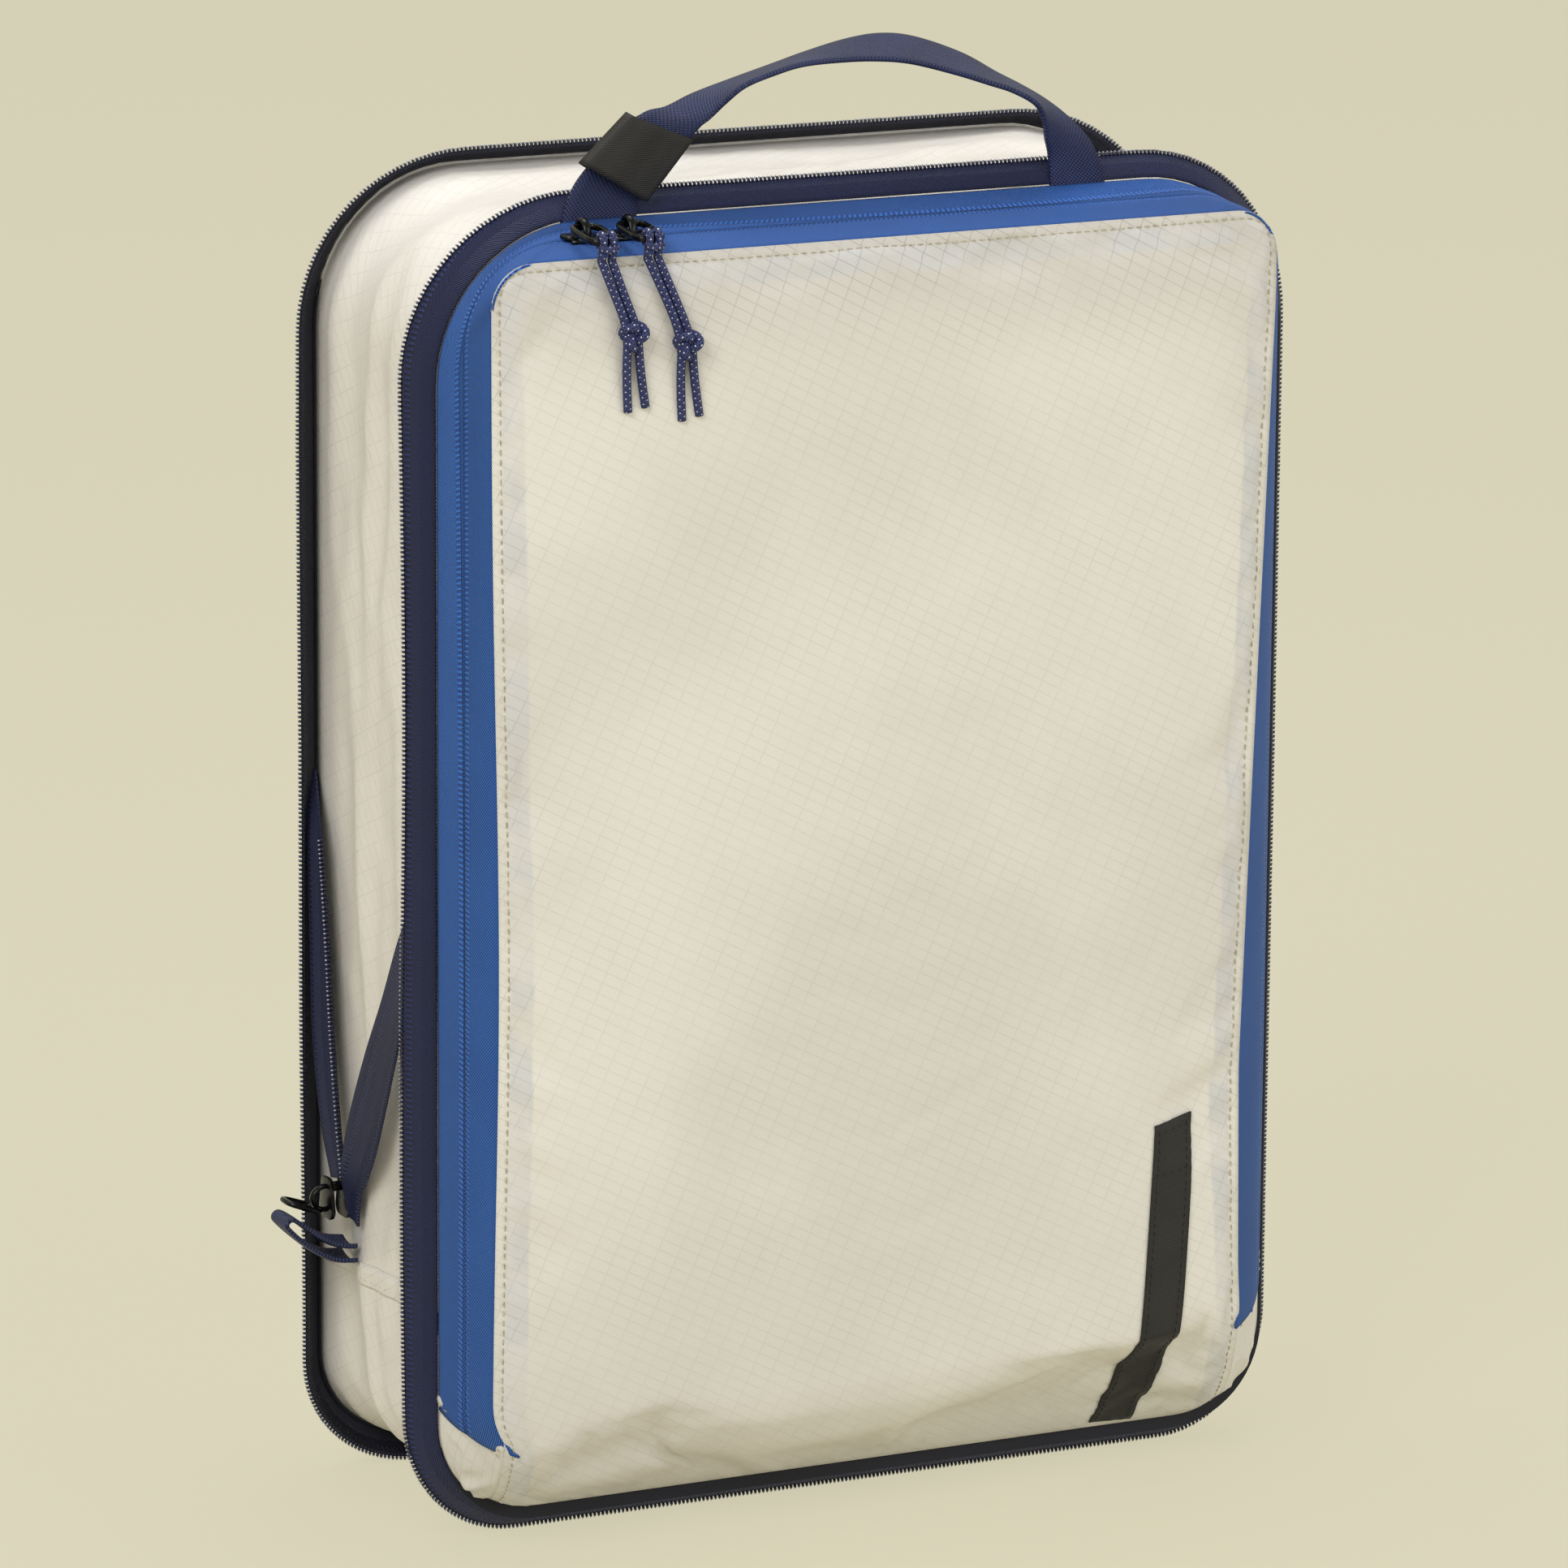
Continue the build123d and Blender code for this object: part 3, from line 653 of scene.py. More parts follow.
# Camera -------------------------------------------------------------------------------------------
TARGET = Vector((0, 0.0356, 0.1875))
AZIMUTH, ELEVATION, ROLL, DISTANCE = map(float, (-26.25, 13.25, 0.42, 2.521))
az, el, roll = (math.radians(angle) for angle in (AZIMUTH, ELEVATION, ROLL))
back = Vector((math.sin(az) * math.cos(el), -math.cos(az) * math.cos(el), math.sin(el)))
right = Vector((0, 0, 1)).cross(back).normalized()
up = back.cross(right)
right, up = (right * math.cos(roll) + up * math.sin(roll), up * math.cos(roll) - right * math.sin(roll))
camera = bpy.data.objects.new("camera", bpy.data.cameras.new("camera"))
bpy.context.scene.collection.objects.link(camera)
camera.matrix_world = Matrix.Translation(TARGET + back * DISTANCE) @ Matrix((right, up, back)).transposed().to_4x4()
camera.data.lens = 204.97
camera.data.sensor_width = 36
camera.data.shift_x, camera.data.shift_y = -0.0063, 0.0189
camera.data.clip_start = 0.05
bpy.context.scene.camera = camera

# Cord pulls ---------------------------------------------------------------------------------------
CORD = 0.0024


def cord_pull(side, body, shift, drop):
    """Two strands hitched to a puller's end bar and knotted together, with their loose tails."""
    slider = middle(f"main_slider_{side}_bail")
    x, hitch_y, hitch_z = slider.x, slider.y - 0.0151, slider.z - 0.002
    top = hitch_z - 0.0048
    knot = Vector((x + shift, hitch_y - 0.0032, hitch_z - 0.0249 - drop))
    strands = {
        "a": [(x - 0.0015, hitch_y, top), (x - 0.001 + shift * 0.3, hitch_y - 0.0016, top - 0.0074),
              knot + Vector((-0.0014, 0, 0.0015)), knot + Vector((-0.0019, 0.0006, -0.0105)),
              knot + Vector((-0.0009, 0.0014, -0.021))],
        "b": [(x + 0.0015, hitch_y, top), (x + 0.0019 + shift * 0.3, hitch_y - 0.0014, top - 0.0078),
              knot + Vector((0.0014, 0, 0.001)), knot + Vector((0.0022, 0.0007, -0.0095)),
              knot + Vector((0.0042, 0.0013, -0.020))],
    }
    turns = []
    for step in range(84):
        turn = 2 * math.pi * step / 84
        turns.append(knot + Vector((
            (math.sin(turn) + 2 * math.sin(2 * turn)) * 0.00106,
            -math.sin(3 * turn) * 0.0016 - 0.0004,
            (math.cos(turn) - 2 * math.cos(2 * turn)) * 0.00118)))
    tied = tube(f"cord_knot_{side}_tied", turns, CORD / 2 * 0.98, BRAID, closed=True)
    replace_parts(tied, f"cord_knot_{side}")
    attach(tied, body)
    bar = Vector((x, hitch_y, hitch_z))
    loops = []
    for offset in (-0.0014, 0.0014):
        circle = [bar + Vector((offset, math.cos(t) * 0.00145, math.sin(t) * 0.0019 + 0.0004))
                  for t in np.linspace(0, 2 * math.pi, 28, endpoint=False)]
        loops.append(tube(f"hitch_turn_{side}_{len(loops)}", circle, CORD / 2 * 0.9, BRAID, closed=True))
    yoke = [bar + Vector((math.sin(t) * 0.0021, -0.0020, -0.0006 - math.cos(t) * 0.0011))
            for t in np.linspace(-math.pi / 2, math.pi / 2, 13)]
    loops.append(tube(f"hitch_yoke_{side}", yoke, CORD / 2 * 0.9, BRAID))
    hitch = joined(f"cord_hitch_{side}_turns", loops)
    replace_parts(hitch, f"cord_hitch_{side}")
    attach(hitch, f"main_puller_{side}")
    for letter, points in strands.items():
        line = route(points)
        strand = tube(f"cord_{side}_{letter}", line, CORD / 2, BRAID)
        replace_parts(strand, f"cord_strand_{side}_{letter}")
        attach(strand, body)
        [tied] if letter == "a" else []
        leg_x = points[0][0]
        leg = tube(f"cord_leg_{side}_{letter}", [(leg_x, hitch_y - 0.0010, hitch_z - 0.0022),
                                                 (leg_x, hitch_y - 0.0006, hitch_z - 0.0034),
                                                 (leg_x, hitch_y, top - 0.0003)], CORD / 2 * 0.97, BRAID)
        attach(leg, body)


cord_pull("left", "cord_pull_left", 0.0065, 0.0)
cord_pull("right", "main_puller_right", 0.009, 0.0035)


PROUD = 0.0020     # how far settled cloth may stand out from its pattern

# Cloth that settles -------------------------------------------------------------------------------
def settle_cloth(piece, held, frames, pressure, slack, cap, stiff=6.0, bend=0.02):
    """Lets a sheet with a held edge settle under a light pressure, from cloth cut a little too large."""
    mesh = piece.data
    rest = np.empty(len(mesh.vertices) * 3)
    mesh.vertices.foreach_get("co", rest)
    group = piece.vertex_groups.new(name="held")
    group.add([int(index) for index in held], 1.0, "REPLACE")
    sim = piece.modifiers.new("settle", "CLOTH")
    sim.settings.quality = 5
    sim.settings.mass = 0.2
    sim.settings.tension_stiffness = sim.settings.compression_stiffness = stiff
    sim.settings.shear_stiffness = stiff * 0.5
    sim.settings.bending_stiffness = bend
    sim.settings.air_damping = 2.0
    sim.settings.vertex_group_mass = "held"
    sim.settings.use_pressure = True
    sim.settings.uniform_pressure_force = pressure
    sim.settings.shrink_min = -slack
    sim.settings.effector_weights.gravity = 0
    sim.collision_settings.use_collision = False
    sim.point_cache.frame_start, sim.point_cache.frame_end = 1, frames
    for step in range(1, frames + 1):
        bpy.context.scene.frame_set(step)
    graph = bpy.context.evaluated_depsgraph_get()
    moved = np.empty(len(mesh.vertices) * 3)
    piece.evaluated_get(graph).data.vertices.foreach_get("co", moved)
    piece.modifiers.remove(sim)
    bpy.context.scene.frame_set(1)
    step = (moved - rest).reshape(-1, 3)
    size = np.linalg.norm(step, axis=1, keepdims=True)
    step *= np.minimum(1, cap / np.maximum(size, 1e-9))
    outward = np.array([vertex.normal for vertex in mesh.vertices])
    proud = np.maximum((step * outward).sum(axis=1, keepdims=True), 0)
    room = PROUD * np.interp(rest[2::3], (0.01, 0.06), (0.4, 1.0))[:, None]
    step += outward * (room * np.tanh(proud / room) - proud)
    piece.vertex_groups.clear()
    return (rest.reshape(-1, 3) + step)


def crumple(points, outward, size, scale, seed):
    """Moves points along their outward directions by a creased noise. scale is per metre, per axis."""
    moved = points.copy()
    flat, away = moved.reshape(-1, 3), outward.reshape(-1, 3)
    for index, point in enumerate(flat):
        spot = Vector((point[0] * scale[0] + seed, point[1] * scale[1], point[2] * scale[2]))
        ridge = 1 - abs(noise.noise(spot)) * 2
        flat[index] = point + away[index] * size * (ridge * ridge - 0.55 + noise.noise(spot * 2.3) * 0.5)
    return moved


def patchwork(bottom, top, left, right):
    """A grid of points between four edges (Coons patch). bottom and top run left to right."""
    u = np.linspace(0, 1, len(bottom))[None, :, None]
    v = np.linspace(0, 1, len(left))[:, None, None]
    rows = (1 - v) * bottom[None] + v * top[None] + (1 - u) * left[:, None] + u * right[:, None]
    corners = ((1 - v) * (1 - u) * bottom[0] + (1 - v) * u * bottom[-1]
               + v * (1 - u) * top[0] + v * u * top[-1])
    return rows - corners


def respaced(points, count):
    """The same line with evenly spaced points."""
    points = np.array(points)
    steps = np.concatenate([[0], np.cumsum(np.linalg.norm(points[1:] - points[:-1], axis=1))])
    marks = np.linspace(0, steps[-1], count)
    return np.stack([np.interp(marks, steps, points[:, axis]) for axis in range(3)], axis=1)


wall_ring, wall_out = ring(wall_at(SEAM_FRONT), SEAM_FRONT)
panel_flat, panel_out = ring(PANEL, PANEL_Y)


def waist(points):
    """How far the panel's two side edges are pulled in, by height."""
    z = points[:, 2]
    right = 0.0072 * np.interp(z, (0.02, 0.06, 0.12, 0.20, 0.34), (0.5, 0.85, 1.0, 0.65, 0.0)) * (points[:, 0] > 0.08)
    left = 0.0022 * np.exp(-((z - 0.17) / 0.09) ** 2) * (points[:, 0] < -0.08)
    return left - right


panel_ring = panel_flat + waist(panel_flat)[:, None] * np.array((1, 0, 0))
HALF = len(wall_ring) // 2


def panel_side(side, curl):
    """The panel's side edge from the front seam, up to the middle of its top corner."""
    low = station_at(panel_ring, curl, side)
    edge_x = along(panel_ring, low)[0]
    foot_angle = math.acos((PATCH_SIDE - (WALL[1] - WALL[4])) / WALL[4])
    foot_z = wall_at(SEAM_FRONT)[2] + WALL[4] - WALL[4] * math.sin(foot_angle)
    line = []
    for step in range(31):
        turn = math.pi / 2 * (1 - step / 30)
        forward = 0.55 * math.cos(turn) + 0.45 * step / 30
        down = 0.55 * math.sin(turn) + 0.45 * (1 - step / 30)
        line.append((edge_x + (side * PATCH_SIDE - edge_x) * (1 - forward),
                     SEAM_FRONT + (PANEL_Y - SEAM_FRONT) * forward, curl + (foot_z - curl) * down))
    line[0] = (side * PATCH_SIDE, SEAM_FRONT, foot_z)
    tip = (sum(STATIONS[:3]) + STATIONS[3] / 2) if side > 0 else (sum(STATIONS[:5]) + STATIONS[5] / 2)
    for share in np.linspace(0, 1, 60)[1:]:
        line.append(tuple(along(panel_ring, low + (tip - low) * share)))
    return np.array(line), tip


left_edge, left_tip = panel_side(-1, PANEL_CURL[-1])
right_edge, right_tip = panel_side(1, PANEL_CURL[1])
foot_right = station_at(wall_ring, left_edge[0][2], 1)
COLUMNS, ROWS = 121, 161
bottom_line = [along(wall_ring, share) for share in np.linspace(-foot_right, foot_right, 80)]
top_line = [along(panel_ring, station) for station in np.linspace(left_tip, right_tip, 80)]
sheet = patchwork(respaced(bottom_line, COLUMNS), respaced(top_line, COLUMNS),
                  respaced(left_edge, ROWS), respaced(right_edge, ROWS))


def make_front():
    """The front's cloth, from the seam under it over the flap, with its hem and puckers."""
    grid = sheet.copy()
    u = np.linspace(-1, 1, COLUMNS)[None, :]
    v = np.linspace(0, 1, ROWS)[:, None]
    crown = (1 - u ** 4) * (1 - (2 * v - 1) ** 6)
    grid[:, :, 1] -= 0.003 * crown
    piece = cloth_mesh("settling_front", grid, None, flip=True)
    index = np.arange(ROWS * COLUMNS).reshape(ROWS, COLUMNS)
    held = np.unique(np.concatenate([index[:2].ravel(), index[-2:].ravel(), index[:, :2].ravel(),
                                     index[:, -2:].ravel()]))
    grid = settle_cloth(piece, held, 26, 0.9, 0.022, 0.009).reshape(ROWS, COLUMNS, 3)
    bpy.data.objects.remove(piece)
    return grid


front_grid = make_front()


def edge_distance(grid):
    """How far each point is from the left, top or right edge of the sheet, over the cloth."""
    side = np.linalg.norm(grid[:, 1:] - grid[:, :-1], axis=2)
    from_left = np.concatenate([np.zeros((ROWS, 1)), np.cumsum(side, axis=1)], axis=1)
    from_right = from_left[:, -1:] - from_left
    rise = np.linalg.norm(grid[1:] - grid[:-1], axis=2)
    from_low = np.concatenate([np.zeros((1, COLUMNS)), np.cumsum(rise, axis=0)], axis=0)
    from_top = from_low[-1:] - from_low
    return np.minimum(np.minimum(from_left, from_right), from_top), from_left, from_right, from_top


edge, from_left, from_right, from_top = edge_distance(front_grid)


def inset_line(distance, lift):
    """A line over the front's cloth at one distance from its left, top and right edges."""
    line = []

    def on_row(row, lengths, reverse):
        order = slice(None, None, -1) if reverse else slice(None)
        return np.array([np.interp(distance, lengths[row][order], front_grid[row, :, axis][order])
                         for axis in range(3)])

    last = ROWS - 1
    corner_row = int(np.searchsorted(-from_top[:, COLUMNS // 2], -distance))
    for row in range(1, corner_row):
        line.append(on_row(row, from_left, False))
    first_column = int(np.searchsorted(from_left[last], distance))
    for column in range(first_column, COLUMNS - first_column):
        line.append(np.array([np.interp(distance, from_top[::-1, column], front_grid[::-1, column, axis])
                              for axis in range(3)]))
    for row in range(corner_row - 1, 0, -1):
        line.append(on_row(row, from_right, True))
    return [point + np.array((0, -lift, 0)) for point in line]


HEM_LINE = 0.0028
groove = np.exp(-((edge - HEM_LINE) / 0.0012) ** 2) * 0.0005
front_grid[:, :, 1] += groove
front_cloth = cloth_mesh("front_cloth", front_grid, FRONT_CLOTH, flip=True)
layer = front_cloth.data.attributes.new("edge", "FLOAT", "POINT")
layer.data.foreach_set("value", edge.ravel().astype(np.float32))
solid = front_cloth.modifiers.new("thickness", "SOLIDIFY")
solid.thickness, solid.offset = 0.0004, -1
settled(front_cloth)
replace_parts(front_cloth, "front_panel", "front_panel_lower")
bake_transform(front_cloth)

hem = beads("front_hem_stitches", [inset_line(HEM_LINE, 0.0003)], 0.0027, (0.0021, 0.00042, 0.00034),
            THREAD_CREAM, unevenness=0.15)
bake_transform(hem)
front_tree = BVHTree.FromPolygons([tuple(v) for v in front_grid.reshape(-1, 3)],
                                  [(r * COLUMNS + c, (r + 1) * COLUMNS + c, (r + 1) * COLUMNS + c + 1,
                                    r * COLUMNS + c + 1) for r in range(ROWS - 1) for c in range(COLUMNS - 1)])


UNDER_PATCH = 0.003     # how far the blue tapes run on below the corner patches' edges

# Main zipper --------------------------------------------------------------------------------------
def zip_band(name, first, last, finish, steps, ends, bulge=0.0004):
    """A band of the front's side wall between two shares of its depth, open at the bottom."""
    shares = np.linspace(first, last, steps)
    grid = []
    count = 300
    for share in shares:
        pulled = max(0.0, (share - ZIP_SHARE) / (1 - ZIP_SHARE))
        inner = panel_flat * (1 - pulled) + panel_ring * pulled
        points = wall_ring * (1 - share) + inner * share
        out = wall_out * (1 - share) + panel_out * share
        start = station_at(points, ends[0][0] + (ends[0][1] - ends[0][0]) * share - UNDER_PATCH, 1)
        stop = station_at(points, ends[1][0] + (ends[1][1] - ends[1][0]) * share - UNDER_PATCH, -1)
        swell = bulge * math.sin(math.pi * (share - first) / (last - first))
        grid.append([along(points, s) + along(out, s) * swell for s in np.linspace(start, stop, count)])
    return cloth_mesh(name, np.array(grid).transpose(1, 0, 2), finish, thick=0.0007)


ZIP_ENDS = ((0.055, 0.045), (0.044, 0.036))     # (at the seam, at the panel), right then left
outer = zip_band("blue_zip_outer", 0.0, ZIP_SHARE - 0.002, BLUE_OUTER, 9, ZIP_ENDS)
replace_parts(outer, "main_zip_outer_tape")
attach(outer, "front_frame")
inner = zip_band("blue_zip_inner", ZIP_SHARE + 0.002, 1.0, BLUE_INNER, 9, ZIP_ENDS)
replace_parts(inner, "main_zip_inner_tape")
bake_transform(inner)
for node in ("main_zip_outer_coil", "main_zip_inner_coil"):
    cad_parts[node].data.materials.clear()
    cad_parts[node].data.materials.append(COIL_BLUE)


# Corner patches -----------------------------------------------------------------------------------
def corner_patch(side, name):
    """The three-cornered cloth patch below one end of the blue tapes."""
    ends = ZIP_ENDS[0] if side > 0 else ZIP_ENDS[1]
    edge_line = right_edge if side > 0 else left_edge
    seam_start = station_at(wall_ring, ends[0] + 0.0012, side)
    seam_end = foot_right if side > 0 else len(wall_ring) - foot_right
    seam = [along(wall_ring, s) for s in np.linspace(seam_start, seam_end, 40)]
    hem_part = [point for point in edge_line if point[2] <= ends[1] + 0.0012][::-1]
    first, second = respaced(seam, 40), respaced(hem_part, 40)
    t = np.linspace(0, 1, 18)[None, :, None]
    grid = first[:, None] * (1 - t) + second[:, None] * t
    outward = np.zeros_like(grid)
    outward[:, :, 0] = side * 0.8
    outward[:, :, 2] = -0.6
    v = np.linspace(0, 1, 40)[:, None]
    hold = np.sin(np.pi * t[:, :, 0]) * np.sin(np.pi * np.clip(v * 1.02, 0, 1)) ** 0.5
    swell = crumple(grid, outward, 0.0022, (130, 60, 60), 7 + side) - grid
    grid = grid + swell * hold[:, :, None] + outward * (0.0016 * hold)[:, :, None]
    lift = np.exp(-((v - 0.03) / 0.04) ** 2)[:, :, None] * outward * np.array((0.0006, 0, 0))
    piece = cloth_mesh(name, grid + lift, FRONT_CLOTH_PLAIN, thick=0.0004, flip=side > 0)
    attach(piece, "front_frame")
    rows = [grid[2, :], grid[4, :]]
    lines = [[point + np.array((side * 0.0006, -0.0001, 0)) for point in row[1:-1]] for row in rows]
    stitch = beads(name + "_stitches", lines, 0.0026, (0.0019, 0.00038, 0.0003), THREAD_CREAM)
    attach(stitch, "front_frame")
    return piece


FRONT_CLOTH_PLAIN = ripstop("patch_ripstop", "weave")
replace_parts(corner_patch(-1, "patch_left_cloth"), "corner_patch_left")
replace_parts(corner_patch(1, "patch_right_cloth"), "corner_patch_right")


# Expansion zipper ---------------------------------------------------------------------------------
def flange(name, seam_y, tip_y, body, tape_finish, reach_side, reach_top, reach_low, lean_top, replaced,
           swell):
    """One half of the expansion zipper: a tape that flares from a seam to its coil, its teeth, and pale beads on the
    teeth for painted highlights.
    """
    base, out = ring(wall_at(seam_y), seam_y, 0.0006)
    upward = np.clip(out[:, 2:3], 0, 1) ** 2
    wander = np.array([noise.noise(Vector((p[0] * 7, seam_y * 50, p[2] * 7))) for p in base])[:, None]
    downward = np.clip(-out[:, 2:3], 0, 1) ** 2
    reach = reach_side + (reach_top - reach_side) * upward + (reach_low - reach_side) * downward + wander * 0.0008
    tip = base + out * reach
    tip[:, 1:2] = tip_y + (lean_top - tip_y) * upward + wander * 0.0012
    shares = np.linspace(0, 1, 9)
    grid = np.stack([base * (1 - s) + tip * s + out * swell * math.sin(math.pi * s) for s in shares], axis=1)
    piece = cloth_mesh(name, grid, tape_finish, thick=0.0008, closed=True, flip=body == "front_frame")
    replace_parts(piece, *replaced)
    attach(piece, body)
    crest = [point for point in tip + out * 0.0003]
    teeth = beads(name + "_teeth", [crest], 0.00125, (0.00078, 0.0017, 0.0014), COIL, closed=True)
    # Painted highlights: pale beads just beyond the crowns of the teeth.
    tips = [point + away * 0.00055 for point, away in zip(crest, out)]
    shine = beads(name + "_painted_tooth_highlights", [tips], 0.00125, (0.00042, 0.0007, 0.0007), COIL_PAINTED_HIGHLIGHT, closed=True)
    for made in (teeth, shine):
        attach(made, body)
    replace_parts(teeth, replaced[1])
    return piece


flange("front_flange", SEAM_FRONT, 0.0, "front_frame", NAVY_TAPE, 0.0054, 0.0058, 0.0075, -0.0045,
       ("front_zip_tape", "front_zip_coil"), 0.0006)
# The back flange's tape is the darker navy: painted shade.
flange("back_flange", SEAM_BACK + 0.0004, COIL_BACK, "back_section", NAVY_SHADED, 0.0072, 0.0036, 0.0050,
       COIL_BACK, ("back_zip_tape", "back_zip_coil"), 0.0006)
# The seam bindings take the darker navy too: painted shade.
for node in ("front_seam_binding", "back_seam_binding"):
    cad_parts[node].data.materials.clear()
    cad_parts[node].data.materials.append(NAVY_SHADED)


def make_gusset():
    """The cloth wall between the two seams, creased along its length and a little hollow."""
    steps = 34
    rings = [ring(wall_at(y), y) for y in np.linspace(GUSSET_START - 0.0004, SEAM_BACK + 0.0004, steps)]
    grid = np.stack([points for points, _ in rings], axis=1)
    out = np.stack([away for _, away in rings], axis=1)
    share = np.linspace(0, 1, steps)[None, :, None]
    hold = np.sin(np.pi * share) ** 0.7
    long_creases = crumple(grid, out, 0.0026, (13, 40, 6.5), 3.0) - grid
    fine = crumple(grid, out, 0.0006, (48, 90, 26), 11.0) - grid
    return grid + (long_creases + fine) * hold - out * (hold * 0.0018 + 0.0006)


gusset_grid = make_gusset()
gusset = cloth_mesh("gusset_cloth", gusset_grid, WALL_CLOTH, thick=0.0004, closed=True, flip=True)
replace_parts(gusset, "gusset_front_band", "gusset_middle_band", "gusset_rear_band")
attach(gusset, "front_frame")
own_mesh(gusset)


def gusset_line(height_front, height_back, lift):
    """A line over the left wall from the front seam to the back one."""
    line = []
    for share in np.linspace(0.02, 0.98, 40):
        height = height_front + (height_back - height_front) * share
        column = share * (gusset_grid.shape[1] - 1)
        low = int(column)
        points = gusset_grid[:, low] * (1 - column + low) + gusset_grid[:, min(low + 1, 33)] * (column - low)
        line.append(along(points, station_at(points, height, -1)) + np.array((-lift, 0, 0)))
    return line


seam = beads("gusset_seam_stitches", [gusset_line(0.0655, 0.0655, 0.0003), gusset_line(0.0635, 0.0635, 0.0003)],
             0.0027, (0.0020, 0.0004, 0.0003), THREAD_CREAM)
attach(seam, "front_frame")
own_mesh(seam)
lap = np.stack([np.array(gusset_line(h, h, lift)) for h, lift in
                ((0.0615, 0.0001), (0.0625, 0.0004), (0.066, 0.0005), (0.0680, 0.0006), (0.0682, 0.0001))], axis=1)
lap_piece = cloth_mesh("gusset_seam_lap", lap, WALL_CLOTH, thick=0.0003, flip=True)
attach(lap_piece, "front_frame")
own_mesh(lap_piece)


# Back ---------------------------------------------------------------------------------------------
def make_back():
    """The back panel: one sheet inside the back seam, a little full and creased at its corners."""
    points, _ = ring(wall_at(SEAM_BACK), SEAM_BACK + 0.001)
    tips = {side: sum(STATIONS[:1]) + STATIONS[1] / 2 if side > 0 else len(points) - STATIONS[0] - STATIONS[7] / 2
            for side in (-1, 1)}
    tops = {1: sum(STATIONS[:3]) + STATIONS[3] / 2, -1: sum(STATIONS[:5]) + STATIONS[5] / 2}
    low = [along(points, s) for s in np.linspace(tips[-1] - len(points), tips[1], 80)]
    high = [along(points, s) for s in np.linspace(tops[-1], tops[1], 80)]
    left = [along(points, s) for s in np.linspace(tips[-1], tops[-1], 80)]
    side = [along(points, s) for s in np.linspace(tips[1], tops[1], 80)]
    grid = patchwork(respaced(low, 91), respaced(high, 91), respaced(left, 121), respaced(side, 121))
    u, v = np.linspace(-1, 1, 91)[None, :], np.linspace(-1, 1, 121)[:, None]
    crown = (1 - u ** 6) * (1 - v ** 6)
    grid[:, :, 1] += (BACK_FACE - SEAM_BACK) * 0.9 * crown
    piece = cloth_mesh("settling_back", grid, None)
    index = np.arange(121 * 91).reshape(121, 91)
    held = np.unique(np.concatenate([index[0], index[-1], index[:, 0], index[:, -1]]))
    grid = settle_cloth(piece, held, 22, 0.7, 0.02, 0.008).reshape(121, 91, 3)
    bpy.data.objects.remove(piece)
    return grid


back_grid = make_back()
back_piece = cloth_mesh("back_cloth", back_grid, BACK_CLOTH, thick=0.0004)
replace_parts(back_piece, "back_panel")
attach(back_piece, "back_section")


# Loose start of the expansion zipper --------------------------------------------------------------
def ribbon(name, stations, finish, thick, count=60, flip=False, crown=0.0):
    """A strap between two edges: each station is (x, y, z) of one edge, then of the other, in mm."""
    stations = np.array(stations) * MM
    first = np.array(smooth_line(stations[:, :3], count))
    second = np.array(smooth_line(stations[:, 3:], count))
    share = np.linspace(0, 1, 9)[None, :, None]
    grid = first[:, None] * (1 - share) + second[:, None] * share
    if crown:
        along_way = np.gradient(grid, axis=0)
        across_way = np.gradient(grid, axis=1)
        away = np.cross(along_way, across_way)
        away /= np.maximum(np.linalg.norm(away, axis=2, keepdims=True), 1e-12)
        grid = grid + away * crown * np.sin(np.pi * share)
    return cloth_mesh(name, grid, finish, thick=thick, flip=flip)


def smooth_line(points, count):
    """A Catmull-Rom line through points."""
    points = np.array(points)
    padded = np.vstack([2 * points[0] - points[1], points, 2 * points[-1] - points[-2]])
    line = []
    for mark in np.linspace(0, len(points) - 1 - 1e-9, count):
        index = int(mark)
        t = mark - index
        a, b, c, d = padded[index:index + 4]
        line.append(0.5 * ((2 * b) + (c - a) * t + (2 * a - 5 * b + 4 * c - d) * t ** 2
                           + (3 * b - a - 3 * c + d) * t ** 3))
    return line


front_tail = ribbon("front_zip_start", [
    (-134.0, -1.5, 184, -131.5, 1.5, 186), (-134.4, 1.0, 166, -132.6, 11.5, 170),
    (-133.4, 8.5, 146, -133.2, 21.5, 151), (-132.4, 19.5, 125, -133.8, 32.5, 132),
    (-131.6, 30.5, 105, -134.0, 43.5, 111), (-131.0, 38.5, 94, -133.4, 50.2, 95.5),
    (-130.6, 44.0, 87.5, -132.4, 50.8, 88.5), (-130.2, 46.5, 79, -131.0, 50.0, 81)],
    NAVY_TAIL, 0.0009, crown=0.0005, flip=True)
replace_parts(front_tail, "front_zip_tail")
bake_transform(front_tail)
back_tail = ribbon("back_zip_start", [
    (-129.6, 79.0, 204, -129.2, 77.0, 204), (-133.2, 73.5, 188, -131.3, 68.5, 188), (-133.4, 71.5, 160, -131.2, 64.0, 160),
    (-133.4, 70.0, 130, -131.0, 61.0, 130), (-132.8, 66.0, 106, -131.0, 57.0, 106),
    (-131.8, 61.0, 90, -131.0, 53.5, 91)], NAVY_TAIL, 0.0009)
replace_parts(back_tail, "back_zip_tail")
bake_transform(back_tail)
tail_crest = smooth_line(np.array([(-131.8, 67.0, 186), (-131.6, 63.6, 160), (-131.4, 60.6, 130), (-131.4, 56.6, 106),
                                   (-131.4, 53.4, 92)]) * MM, 80)
tail_teeth = beads("back_start_teeth", [tail_crest], 0.00125, (0.00078, 0.0019, 0.0015), COIL)
# Painted highlights: pale beads along the crowns of the loose start's teeth.
tail_shine = beads("back_start_painted_highlights", [[p + np.array((-0.0006, -0.0002, 0)) for p in tail_crest]], 0.00125,
                   (0.0005, 0.0008, 0.0008), COIL_PAINTED_HIGHLIGHT)
for made in (tail_teeth, tail_shine):
    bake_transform(made)


